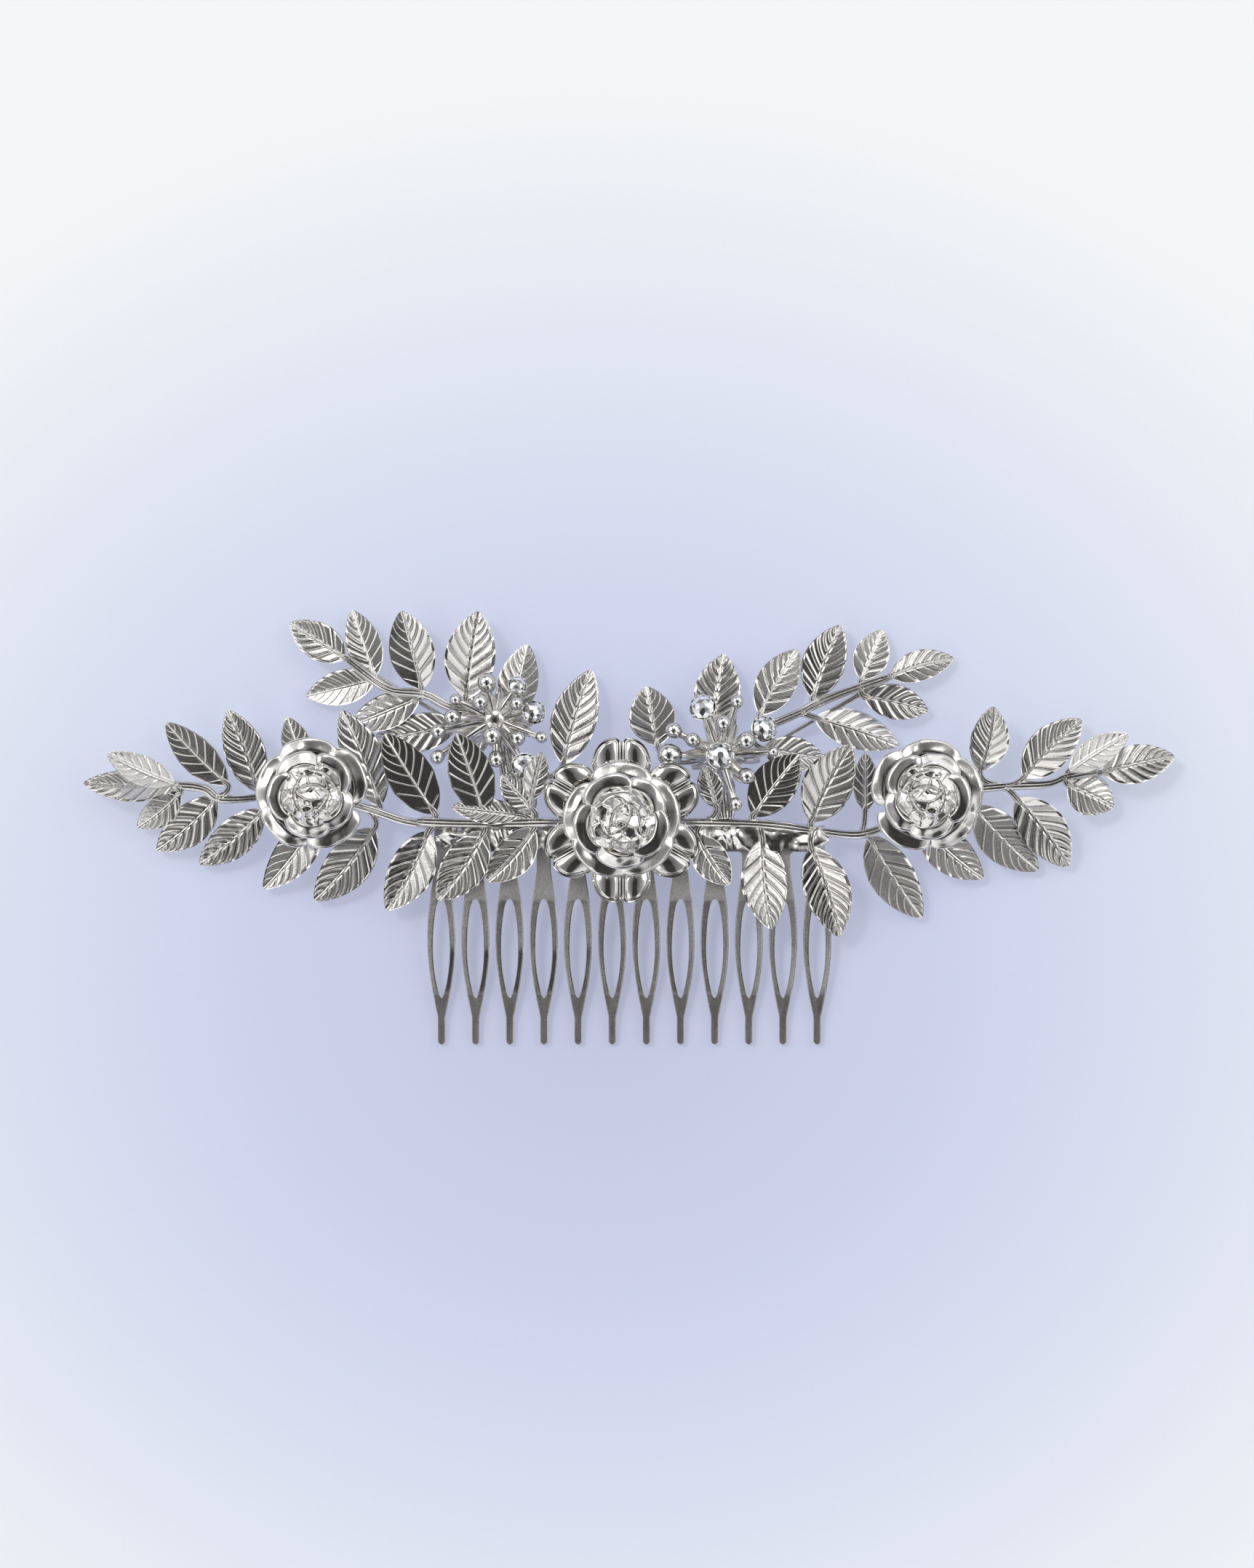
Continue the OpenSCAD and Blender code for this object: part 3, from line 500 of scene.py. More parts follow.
STEMS = {
    "left_end_spray": [
        (-57.8, 5.4, 3.6), (-54.1, 4.9, 3.4), (-52.3, 3.7, 3.2), (-49.5, 3.6, 3.2),
        (-46.2, 3.9, 3.2), (-40.2, 4.2, 3.2), (-33.5, 2.4, 3.2), (-28.7, 0.8, 3.2),
        (-25.0, 0.3, 3.2), (-21.8, 0.2, 3.2)],
    "right_end_spray": [
        (20.4, 0.2, 3.2), (25.0, -0.6, 3.2), (29.6, -0.9, 3.2), (33.6, 0.8, 3.2),
        (37.6, 4.0, 3.2), (42.0, 4.6, 3.2), (47.6, 5.2, 3.2), (53.1, 5.5, 3.3),
        (55.6, 6.4, 3.4), (59.4, 7.1, 3.6)],
    "upper_left_spray": [
        (-14.0, 0.2, 3.2), (-15.4, 7.0, 3.0), (-17.1, 13.7, 3.0), (-22.7, 15.3, 2.8),
        (-26.0, 16.9, 2.6), (-30.1, 17.4, 2.5), (-32.5, 18.7, 2.4), (-36.1, 21.5, 2.4)],
    "upper_right_spray": [
        (12.4, 0.2, 3.2), (12.0, 4.6, 3.1), (11.5, 9.1, 3.0), (15.4, 11.8, 2.9),
        (18.4, 13.2, 2.8), (21.7, 14.6, 2.7), (24.4, 16.0, 2.6), (29.4, 17.9, 2.5),
        (33.2, 19.2, 2.4)],
    "lower_left_spray": [
        (-27.0, 0.8, 3.9), (-24.6, 0.6, 3.9), (-18.5, 0.5, 3.9), (-12.0, 0.6, 3.9), (-1.0, 0.9, 3.9)],
    "lower_right_spray": [
        (-1.0, 0.9, 4.6), (1.6, 0.9, 4.6), (6.0, 0.7, 3.9), (9.4, 0.6, 3.9),
        (16.4, 0.4, 3.9), (23.4, -0.4, 3.9)],
}


def half_tone(e, s, pitch, slope):
    """what a half of a leaf reflects straight up: e along it, s outwards"""
    gx = math.tan(pitch) * e[0] + math.tan(slope) * s[0]
    gy = math.tan(pitch) * e[1] + math.tan(slope) * s[1]
    n = np.array([-gx, -gy, 1.0])
    n /= np.linalg.norm(n)
    near = np.array([n, n + (0.03, 0, 0), n - (0.03, 0, 0), n + (0, 0.03, 0), n - (0, 0.03, 0)])
    near /= np.linalg.norm(near, axis=1)[:, None]
    return float(tent(2 * near[:, 2:3] * near - np.array([0, 0, 1.0])).mean())


def choose_slope(e, s, pitch, want):
    best = None
    for k in range(-25, 26):
        a = math.radians(k)
        cost = abs(math.log(half_tone(e, s, pitch, a) / want)) + 0.011 * abs(k - 3)
        if best is None or cost < best[0]:
            best = (cost, a)
    return best[1]


def leaf_outline(u):
    return np.sin(np.pi * np.clip(0.006 + 0.988 * u, 0, 1) ** 0.90) ** 0.70


HALF_V = np.array([0, .022, .05, .085, .13, .19, .28, .40, .54, .67, .79, .87, .925, .965, 1.0])
VS = np.concatenate([-HALF_V[:0:-1], HALF_V])


def leaf(mesh, row, seed):
    tx, ty, bx, by, bz, tz, width, tone, style_l, style_r, bow = row
    tip, base = np.array([tx, ty, tz]), np.array([bx, by, bz])
    d = tip - base
    length = math.hypot(d[0], d[1])
    e = d[:2] / length
    s = np.array([-e[1], e[0]])
    pitch = math.atan2(d[2], length)
    if isinstance(tone, (int, float)):
        slope_l, slope_r = math.radians(tone) * 0.75, -math.radians(tone) * 0.75
        lift = abs(math.tan(slope_l)) * width / 2
    else:
        slope_l = choose_slope(e, s, pitch, TONES[tone[0]])
        slope_r = choose_slope(e, -s, pitch, TONES[tone[1]])
        lift = 0.0
    bars = 7 if length > 8.5 else (6 if length > 6.5 else 5)

    def rows_for(style):
        amp, duty, wall, crown, crumple = STYLES[style]
        return [0, wall * 0.33, wall * 0.67, wall, wall + 0.045, (wall + duty) / 2, duty - 0.045, duty,
                duty + wall * 0.33, duty + wall * 0.67, duty + wall, duty + wall + 0.045, 0.955]

    ts = sorted(set(round(t, 3) for t in rows_for(style_l) + rows_for(style_r) if 0 <= t < 0.98))
    ts = [t for i, t in enumerate(ts) if i == 0 or t - ts[i - 1] > 0.012]
    start, end = 0.05, 0.95
    edge = start + (end - start) * (np.arange(bars + 1) / bars) ** 0.94
    rows = [0, 0.012, 0.028]
    bar_t = [0.0, 0.0, 0.0]
    for k in range(bars):
        for t in ts:
            rows.append(edge[k] + (edge[k + 1] - edge[k]) * t)
            bar_t.append(t)
    for x in (0.95, 0.965, 0.98, 0.991, 1.0):
        rows.append(x)
        bar_t.append(0.0)
    rows, bar_t = np.array(rows), np.array(bar_t)
    S, V = np.meshgrid(rows, VS, indexing="ij")
    T = np.repeat(bar_t[:, None], len(VS), axis=1)
    half_w = width * 0.535
    lead = 1 - (1 - S) ** (1 + 4.4 * half_w / length) + 0.05 * smooth(0, 0.08, S) * (1 - S) ** 3
    U = S + (lead - S) * np.abs(V) ** 1.1
    U = np.clip(U, 0, 1)
    HW = half_w * leaf_outline(U)
    Y = np.abs(V) * HW                       # distance from the midrib
    M = (1 - np.abs(V)) * HW                 # distance from the margin
    rs = np.random.RandomState(seed)
    relief = np.zeros_like(S)
    for side, style in ((1, style_l), (-1, style_r)):
        amp, duty, wall, crown, crumple = STYLES[style]
        k = V > 0 if side > 0 else V <= 0
        up = smooth(0, wall, T) - smooth(duty, duty + wall, T)
        bulge = crown * np.clip(np.sin(np.pi * np.clip((T - wall / 2) / duty, 0, 1)), 0, 1)
        body = (up * amp + bulge) * smooth(start - 0.01, start + 0.03, S) * (1 - smooth(0.93, 0.96, S))
        if style == "slot":
            groove = (1 - up) * 0.10 * smooth(0.30, 0.42, np.abs(V)) * (1 - smooth(0.86, 0.93, np.abs(V)))
            body = body - groove * (smooth(0.06, 0.1, S) * (1 - smooth(0.9, 0.94, S)))
        body = body * smooth(0.07, 0.24, Y) * smooth(0.05, 0.24, M)
        relief = np.where(k, body, relief)
    crumple = np.where(V > 0, STYLES[style_l][4], STYLES[style_r][4])
    rim = 0.02 * np.exp(-(M / 0.08) ** 2) * smooth(0, 0.1, HW)
    rib = 0.045 * np.exp(-(Y / 0.065) ** 2) - 0.03 * np.exp(-((Y - 0.15) / 0.06) ** 2)
    slope = np.where(V > 0, math.tan(slope_l), math.tan(slope_r))
    arch = 0.22 + 0.16 * rs.rand()
    X = base[0] + d[0] * U + s[0] * (HW * V + bow * 4 * U * (1 - U))
    Yw = base[1] + d[1] * U + s[1] * (HW * V + bow * 4 * U * (1 - U))
    pts = np.stack([X, Yw, np.zeros_like(X)], -1)
    calm = 0.45 if "slot" in (style_l, style_r) else 1.0
    wav = calm * (0.05 * noise3(pts * 0.30 + seed, 1) + 0.006 * noise3(pts * 1.2 + seed, 2))
    wav = wav + crumple * (0.8 * np.abs(noise3(pts * 1.7 + seed, 3)) + 0.45 * noise3(pts * 3.6 + seed, 4))
    wav = wav * smooth(0.02, 0.12, S)
    Z = base[2] + d[2] * U + LEAF_T + lift + Y * slope + arch * 4 * U * (1 - U) * 0.3 + relief + rim + rib + wav
    Z = np.maximum(Z, LEAF_T + 0.02)
    top = np.stack([X, Yw, Z], -1)
    bottom = top - np.array([0, 0, LEAF_T])
    amp_at = np.where(V > 0, STYLES[style_l][0], STYLES[style_r][0])
    # tarnish and painted shade: the bottoms of the grooves between the bars are darkened, and a line beside the midrib
    low = 1 - 0.6 * (1 - smooth(-0.06, 0.75, relief / amp_at)) * smooth(0.2, 0.4, Y) * smooth(0.1, 0.25, M) * (T > 0) * np.where(amp_at < 0.08, 0.35, 1.0)
    low = low - 0.3 * np.exp(-((Y - 0.17) / 0.07) ** 2)
    low = np.clip(low, 0.1, 1)
    v, f = closed_sheet(top, bottom)
    # painted shade: the underside is set darker
    mesh.add(v, f, np.concatenate([low.ravel(), np.full(low.size, 0.8)]))
    return math.degrees(slope_l), math.degrees(slope_r), math.degrees(pitch)


# ---------------------------------------------------------------- stems
STRIP = [(-1, .30), (-.93, .62), (-.78, .84), (-.62, .98), (-.46, .90), (-.30, .80), (-.15, .96), (0, 1.04),
         (.15, .96), (.30, .80), (.46, .90), (.62, .98), (.78, .84), (.93, .62), (1, .30), (1, .06), (.9, 0), (-.9, 0), (-1, .06)]


BLADE = [(-1, .20), (-.93, .36), (-.5, .68), (-.12, .95), (0, 1.0), (.12, .95), (.5, .68), (.93, .36), (1, .20), (1, .05), (.9, 0), (-.9, 0), (-1, .05)]


def strip(mesh, path, widths, thick, shape=STRIP):
    """a fluted flat wire along path; path gives the middle of its underside"""
    path = np.asarray(path, float)
    t = np.gradient(path, axis=0)
    t /= np.linalg.norm(t, axis=1)[:, None]
    s = np.stack([-t[:, 1], t[:, 0], np.zeros(len(t))], 1)
    s /= np.linalg.norm(s, axis=1)[:, None]
    up = np.cross(t, s)
    prof = np.array(shape)
    ring = path[:, None, :] + s[:, None, :] * (prof[None, :, 0:1] * np.asarray(widths)[:, None, None] / 2) \
        + up[:, None, :] * (prof[None, :, 1:2] * np.asarray(thick)[:, None, None])
    m, n = ring.shape[:2]
    v = ring.reshape(-1, 3)
    f = grid_faces(m, n, 0, False, wrap_n=True)
    f.append(tuple(range(n)))
    f.append(tuple((m - 1) * n + j for j in reversed(range(n))))
    # painted shade: the valleys of the flutes are darkened
    shade = np.tile(np.where((prof[:, 1] > .75) & (prof[:, 1] < .85), 0.7, 1.0), m)
    mesh.add(v, f, shade)


def spray(name):
    mesh = Mesh()
    stem = np.array(STEMS[name])
    path = smooth_path(stem, 7)
    n = len(path)
    i = np.arange(n)
    ends = np.minimum(1, np.minimum(i, n - 1 - i) / 2.5 * 0.4 + 0.6)
    broad = 1.05 if name.startswith("lower") else 1.0
    wide = 1.2 * broad * ends * (1 + 0.16 * noise3(path * 0.5, 12))
    if name.startswith("upper"):      # the run from the bar up to the cluster is a broad strip
        wide = wide * (1 + 1.0 * smooth(17, 10, i))
    strip(mesh, path, wide, 0.74 * ends ** 0.3)
    slopes = []
    for k, row in enumerate(LEAVES[name]):
        base = np.array([row[2], row[3], row[4]])
        tip = np.array([row[0], row[1], row[5]])
        j = int(np.argmin(np.linalg.norm(stem[:, :2] - base[:2], axis=1)))
        root = stem[j]
        d = tip - base
        d = d / np.linalg.norm(d[:2])
        reach = np.linalg.norm(base - root)
        c = base - d * reach * 0.45
        t = np.linspace(0, 1, 12)[:, None]
        stalk = root * (1 - t) ** 2 + c * 2 * t * (1 - t) + base * t ** 2
        over = base + d * np.linspace(0, 0.16, 5)[1:, None] * np.linalg.norm(tip[:2] - base[:2])
        stalk = np.vstack([stalk, over])
        w = np.concatenate([np.interp(t[:, 0], [0, 0.35, 1], [1.25 * broad ** 1.6, 0.80 * broad ** 1.6, 0.95 * broad]), np.array([0.78, 0.56, 0.40, 0.24]) * broad])
        h = np.concatenate([np.full(12, 0.62), [0.58, 0.52, 0.46, 0.40]])
        strip(mesh, stalk, w, h)
        slopes.append(leaf(mesh, row, 7 * k + sum(map(ord, name)) % 97))
    pads = {"left_end_spray": (-40.2, 4.2, 3.2, 1.0), "right_end_spray": (37.6, 4.0, 3.2, 1.0),
            "lower_left_spray": (-1.0, 0.9, 3.9, 0.7), "lower_right_spray": (-1.0, 0.9, 4.6, 0.7)}
    if name in pads:
        x, y, z, h = pads[name]
        washer(mesh, (x, y, z), 0.56, 1.7, h)
    webs = {"lower_left_spray": ((-24.6, -9.6), -1.35, 3.35), "lower_right_spray": ((8.2, 25.3), -1.5, 3.8)}
    if name in webs:      # the torn edge of the stamping that joins the leaf bases
        (x0, x1), yc, zb = webs[name]
        xs = np.linspace(x0, x1, 150)
        vs = np.linspace(-1, 1, 17)
        X, V = np.meshgrid(xs, vs, indexing="ij")
        u = (X - x0) / (x1 - x0)
        flat = lambda q, k: noise3(np.stack([q, 0 * q + k, 0 * q], -1), 15)
        half = (1.42 + 0.34 * flat(X * 0.9, 3.3) + 0.16 * flat(X * 2.3, 8.1)) * (0.35 + 0.65 * smooth(0, 0.08, u) * smooth(1, 0.92, u))
        Y = yc + 0.25 * flat(X * 0.45, 1.7) + V * half
        fold = np.sin(2 * np.pi * (X * 0.26 + 0.30 * V + 1.1 * flat(X * 0.28, 5.5)))
        Z = zb + 0.42 + 0.13 * fold * np.clip(1.6 - 1.4 * np.abs(V), 0, 1) + 0.20 * noise3(np.stack([X * 0.7, Y * 0.9, 0 * X], -1), 16) - 0.20 * V ** 2
        top = np.stack([X, Y, Z], -1)
        low = np.stack([X, Y, 0 * Z + zb - 0.05], -1)
        v, f = closed_sheet(top, low)
        mesh.add(v, f)
    print(name, [tuple(round(x) for x in q) for q in slopes])
    return mesh.make(name + "_leaves", leaf_silver, autosmooth=70)


def washer(mesh, at, r0, r1, h, n=40):
    b = 0.12
    prof = [(r0, 0), (r1 - b, 0), (r1, b), (r1, h - b), (r1 - b, h), (r0 + b, h), (r0, h - b)]
    a = np.arange(n) * 2 * np.pi / n
    v = np.array([[at[0] + r * math.cos(x), at[1] + r * math.sin(x), at[2] + z] for x in a for r, z in prof])
    mesh.add(v, grid_faces(n, len(prof), 0, False, wrap_m=True, wrap_n=True))


# ---------------------------------------------------------------- comb plate
def comb_plate():
    count, pitch = 12, 4.35
    lift, thick = 2.4, 0.8
    top_y, low_y, crease, swell_top, swell_end, tip_y = 0.2, -3.1, -8.8, -5.6, -24.2, -27.7
    trunk, stem_hw, swell = 0.90, 0.48, 1.10

    def plate_z(y):
        s = np.clip((crease - y) / (crease - tip_y), 0, 1)
        # the crease is pressed over a small radius
        return lift * (1 - s * (1.35 - 0.35 * s))

    slot_top, slot_low = crease - 0.35, swell_end + 2.4
    fillet = 0.55
    ys = np.concatenate([
        low_y - fillet * (1 - np.cos(np.linspace(0, np.pi / 2, 7))),
        np.linspace(low_y - fillet - 0.4, crease + 0.5, 13),
        np.linspace(crease + 0.3, slot_top + 0.02, 4),
        slot_top - (slot_top - slot_low) * (1 - np.cos(np.linspace(0, np.pi, 47))) / 2,
        np.linspace(slot_low - 0.2, swell_end, 6)[1:],
        np.linspace(swell_end - 0.3, tip_y + stem_hw, 8),
        tip_y + stem_hw - stem_hw * np.sin(np.linspace(0, np.pi / 2, 7))[1:],
    ])

    def outer(y):
        u = np.clip((swell_top - y) / (swell_top - swell_end), 0, 1)
        w = trunk + (stem_hw - trunk) * u + swell * np.sin(np.pi * u)
        w = np.where(y > low_y - fillet, trunk + fillet - np.sqrt(np.maximum(0, fillet ** 2 - (fillet - (low_y - y)) ** 2)), w)
        k = np.clip((tip_y + stem_hw - y) / stem_hw, 0, 1)
        return np.where(y < tip_y + stem_hw, stem_hw * np.sqrt(np.maximum(0.0006, 1 - k * k)), w)

    def inner(y):
        v = np.clip((slot_top - y) / (slot_top - slot_low), 0, 1)
        return 1.05 * np.sin(np.pi * v) ** np.where(v < 0.5, 0.42, 0.68) * ((y < slot_top) & (y > slot_low))

    mesh = Mesh()
    across = np.array([0, .05, .10, .16, .28, .5, .72, .84, .90, .95, 1.0])
    half = (count - 1) / 2 * pitch + trunk
    bevel = 0.16
    for i in range(count):
        cx = (i - (count - 1) / 2) * pitch
        rs = np.random.RandomState(40 + i)
        turn_at = crease - 6.6 + rs.uniform(-0.6, 0.6)     # where a right limb's twist ends
        rolls = (math.radians(-8 + rs.uniform(-1.5, 1.5)), math.radians(11 + rs.uniform(-2, 2)), math.radians(2 + 1.1 * i * (i > 3)))
        ow, iw = outer(ys), inner(ys)
        for side in (1, -1):
            x = iw[:, None] + (ow - iw)[:, None] * across[None, :]
            yy = np.repeat(ys[:, None], len(across), 1)
            dist_o = (ow[:, None] - x)
            dist_i = (x - iw[:, None])
            open_i = smooth(0.0, 0.25, iw)[:, None]
            # edges that face +X are broken by a flat, the others barely rounded
            flat_edge = lambda t: 0.05 * np.clip(1 - t / 0.10, 0, 1)
            round_edge = lambda t: 0.06 * np.clip(1 - t / 0.07, 0, 1) ** 2
            e_o, e_i = (flat_edge, round_edge) if side > 0 else (round_edge, flat_edge)
            drop = e_o(dist_o) + e_i(dist_i) * open_i
            mid = (x - (iw[:, None] + ow[:, None]) / 2) * side
            limb = smooth(0.05, 0.55, iw)[:, None]
            if side > 0:
                k = smooth(turn_at + 0.25, turn_at - 0.25, yy)
                roll = math.tan(rolls[1]) * (1 - k) + math.tan(rolls[2]) * k
            else:
                roll = math.tan(rolls[0]) * np.ones_like(x)
            z = plate_z(yy) + thick - drop - limb * roll * mid
            top = np.stack([cx + side * x, yy, z], -1)
            low = np.stack([cx + side * x, yy, plate_z(yy) + drop * 0.5], -1)
            v, f = closed_sheet(top, low, flip=side < 0)
            rub = (1 - limb[:, 0]) * np.where(ys < slot_low + 0.5, 0.42, 1.0)
            mesh.add(v, f, np.resize(np.repeat(rub, len(across)), len(v)))
    xs = np.concatenate([[-half, -half + .06, -half + .16], np.linspace(-half + 1, half - 1, 60), [half - .16, half - .06, half]])
    yb = np.array([low_y, low_y + .06, low_y + .16, -2.0, -1.0, top_y - .16, top_y - .06, top_y])
    X, Y = np.meshgrid(xs, yb, indexing="ij")
    drop = bevel * np.clip(1 - (top_y - Y) / .16, 0, 1) ** 2 + bevel * np.clip(1 - (half - np.abs(X)) / .16, 0, 1) ** 2
    top = np.stack([X, Y, lift + thick - drop], -1)
    low = np.stack([X, Y, lift + drop * .5], -1)
    v, f = closed_sheet(top, low)
    mesh.add(v, f)
    o = mesh.make("comb", comb_metal, autosmooth=50)
    return o


# ---------------------------------------------------------------- flowers
def petal(mesh, at, az, half, prof, t=0.36, twist=0.0, droop=0.25, round_ends=0.55, seed=0, wave=0.05, chord=0.0, nq=30, np_=31):
    """an upright petal whose lip curls out: prof is (radius, height) from its
    foot to the edge of its lip; az and half are the angles it takes"""
    prof = smooth_path([(r, z, 0) for r, z in prof], 5)[:, :2]
    seg = np.concatenate([[0], np.cumsum(np.linalg.norm(np.diff(prof, axis=0), axis=1))])
    q = np.linspace(0, seg[-1], nq)
    R, Z = np.interp(q, seg, prof[:, 0]), np.interp(q, seg, prof[:, 1])
    k = q / seg[-1]
    p = np.sin(np.linspace(-np.pi / 2, np.pi / 2, np_))
    P, K = np.meshgrid(p, k, indexing="ij")
    RR, ZZ = np.repeat(R[None, :], np_, 0), np.repeat(Z[None, :], np_, 0)
    lip0 = R[int(nq * 0.55)]
    ends = 1 - np.abs(P) ** 3.5
    # towards the petal's ends the lip narrows and the edge drops
    RR = np.where(RR > lip0, lip0 + (RR - lip0) * (1 - round_ends + round_ends * ends), RR)
    RR = RR * (1 + chord * P ** 2) + twist * P
    ZZ = ZZ - droop * np.abs(P) ** 3 * K + 0.10 * twist * P
    A = math.radians(az) + math.radians(half) * P * (0.80 + 0.20 * K)
    pts = np.stack([RR * np.cos(A), RR * np.sin(A), ZZ], -1)
    nz = noise3(pts * 0.7 + seed * 3.1 + 20, 5)
    n = flat_normals(pts)
    n = n * np.sign(n[..., 2:3].mean() if abs(n[..., 2].mean()) > 1e-6 else 1)
    pts = pts + n * (wave * nz)[..., None] + n * (0.035 * np.exp(-((1 - K) / 0.05) ** 2))[..., None]
    pts = pts + np.array(at)
    back = pts - n * t
    v, f = closed_sheet(pts, back)
    c = np.cross(pts[1, 0] - pts[0, 0], pts[0, 1] - pts[0, 0])
    mid_n = np.cross(pts[np_ // 2 + 1, nq // 2] - pts[np_ // 2, nq // 2], pts[np_ // 2, nq // 2 + 1] - pts[np_ // 2, nq // 2])
    if np.dot(mid_n, n[np_ // 2, nq // 2]) < 0:
        f = [q[::-1] for q in f]
    # painted shade: each petal darkens towards its foot, deep in the rose, and its back is set darker
    shade = 1 - 0.55 * (1 - smooth(0.0, 0.45, K))
    mesh.add(v, f, np.concatenate([shade.ravel(), np.full(shade.size, 0.7)]))


def disc(mesh, at, r0, r1, h, n=48, dome=0.0):
    prof = [(r0, 0), (r1 - .1, 0), (r1, .1), (r1, h - .1), (r1 - .1, h), (r0, h)]
    a = np.arange(n) * 2 * np.pi / n
    v = np.array([[at[0] + r * math.cos(x), at[1] + r * math.sin(x), at[2] + z] for x in a for r, z in prof])
    mesh.add(v, grid_faces(n, len(prof), 0, False, wrap_m=True, wrap_n=True))


def bud(name, at, r, h, seed, mirror=1, eye=(-0.6, -1.9)):
    """a closed heart of pressed petals, crumpled into small facets, with a few
    petal edges and an eye"""
    mesh = Mesh()
    n_r, n_a = 74, 200
    rr = np.linspace(0.015, 1.0, n_r) * r
    aa = np.arange(n_a) * 2 * np.pi / n_a
    Rg, Ag = np.meshgrid(rr, aa, indexing="ij")
    lump = 1 + 0.05 * np.sin(5 * Ag + seed) + 0.03 * np.sin(3 * Ag + 2 * seed)
    X, Y = Rg * lump * np.cos(Ag), Rg * lump * np.sin(Ag)
    P = np.stack([X, Y, np.zeros_like(X)], -1)
    warp = 0.20 * np.stack([noise3(P * 0.7 + seed, 6), noise3(P * 0.7 + seed + 40, 7), np.zeros_like(X)], -1)
    XW, YW = X + warp[..., 0], Y + warp[..., 1]
    rs = np.random.RandomState(17 * seed + 3)
    cells = []
    step = 1.80
    for a in range(-4, 5):
        for b in range(-4, 5):
            x = (a + 0.5 * (b % 2)) * step + rs.uniform(-0.42, 0.42)
            y = b * step * 0.87 + rs.uniform(-0.42, 0.42)
            if math.hypot(x, y) < r + 0.5:
                t, g = rs.uniform(0, 2 * math.pi), rs.uniform(0.15, 0.60)
                cells.append((x, y, g * math.cos(t), g * math.sin(t), rs.uniform(-0.12, 0.12)))
    cells = np.array(cells)
    dx = XW[..., None] - cells[:, 0]
    dy = YW[..., None] - cells[:, 1]
    turn = rs.uniform(0, np.pi, len(cells))          # every facet is longer one way
    d2 = 1.7 * (dx * np.cos(turn) + dy * np.sin(turn)) ** 2 + 0.6 * (dx * np.sin(turn) - dy * np.cos(turn)) ** 2
    w = np.exp(-(d2 - d2.min(-1, keepdims=True)) / 0.14)
    facet = (w * (dx * cells[:, 2] + dy * cells[:, 3] + cells[:, 4])).sum(-1) / w.sum(-1)
    Z = h - 0.6 - 1.35 * (Rg / r) ** 2.2 + facet * smooth(1.0, 0.90, Rg / r)
    wall = np.ones_like(Z)
    wraps = [  # azimuth, distance of its edge from the middle, half angle
        (235, 0.8, 70), (70, 1.2, 62), (150, 2.1, 50), (-50, 2.0, 52), (20, 2.9, 40)]
    for az, c, half in wraps:
        c = c * r / 3.9
        az = math.radians(az + seed * 11)
        bulge = 1.6 + c * 0.9
        qx, qy = math.cos(az) * (c - bulge), math.sin(az) * (c - bulge)
        u = np.hypot(XW - qx, YW - qy) - bulge
        da = np.abs((np.arctan2(YW - qy, XW - qx) - az + np.pi) % (2 * np.pi) - np.pi)
        side = smooth(math.radians(half), math.radians(half * 0.6), da)
        Z = Z + side * (0.13 * np.exp(-(u / 0.11) ** 2) - 0.26 * smooth(0.0, 0.14, u) * np.exp(-np.maximum(u, 0) / 0.8))
        # painted shade in the crease just outside each petal edge
        wall = np.minimum(wall, 1 - 0.75 * np.exp(-((u - 0.15) / 0.10) ** 2) * side)
    rho = np.hypot((X - eye[0]) * 0.85, (Y - eye[1]) * 1.25)
    Z = Z + 0.22 * np.exp(-((rho - 0.48) / 0.12) ** 2) - 0.34 * np.exp(-(rho / 0.28) ** 2)
    # painted shade in the eye
    wall = np.minimum(wall, 1 - 0.7 * np.exp(-(rho / 0.3) ** 2))
    Z = Z + 0.02 * noise3(P * 3 + seed, 10) - 1.3 * smooth(0.94, 1.0, Rg / r)
    pts = np.stack([X * mirror + at[0], Y + at[1], Z + at[2]], -1)
    ring = pts.reshape(-1, 3)
    foot = np.array([[at[0] + mirror * r * 0.85 * math.cos(t), at[1] + r * 0.85 * math.sin(t), at[2]] for t in aa])
    allv = np.vstack([ring, foot, [pts[0].mean(0)], [[at[0], at[1], at[2]]]])
    flip = mirror < 0
    f = grid_faces(n_r + 1, n_a, 0, flip, wrap_n=True)
    c, b = (n_r + 1) * n_a, (n_r + 1) * n_a + 1
    caps = [(c, j, (j + 1) % n_a) for j in range(n_a)] + [(b, n_r * n_a + (j + 1) % n_a, n_r * n_a + j) for j in range(n_a)]
    f += [q[::-1] for q in caps] if flip else caps
    # painted shade: the foot ring under the bud is dark and the middle of the underside darker
    mesh.add(allv, f, np.concatenate([wall.ravel(), np.full(n_a, 0.3), [1.0, 0.5]]))
    return mesh.make(name, rose_silver, autosmooth=80)


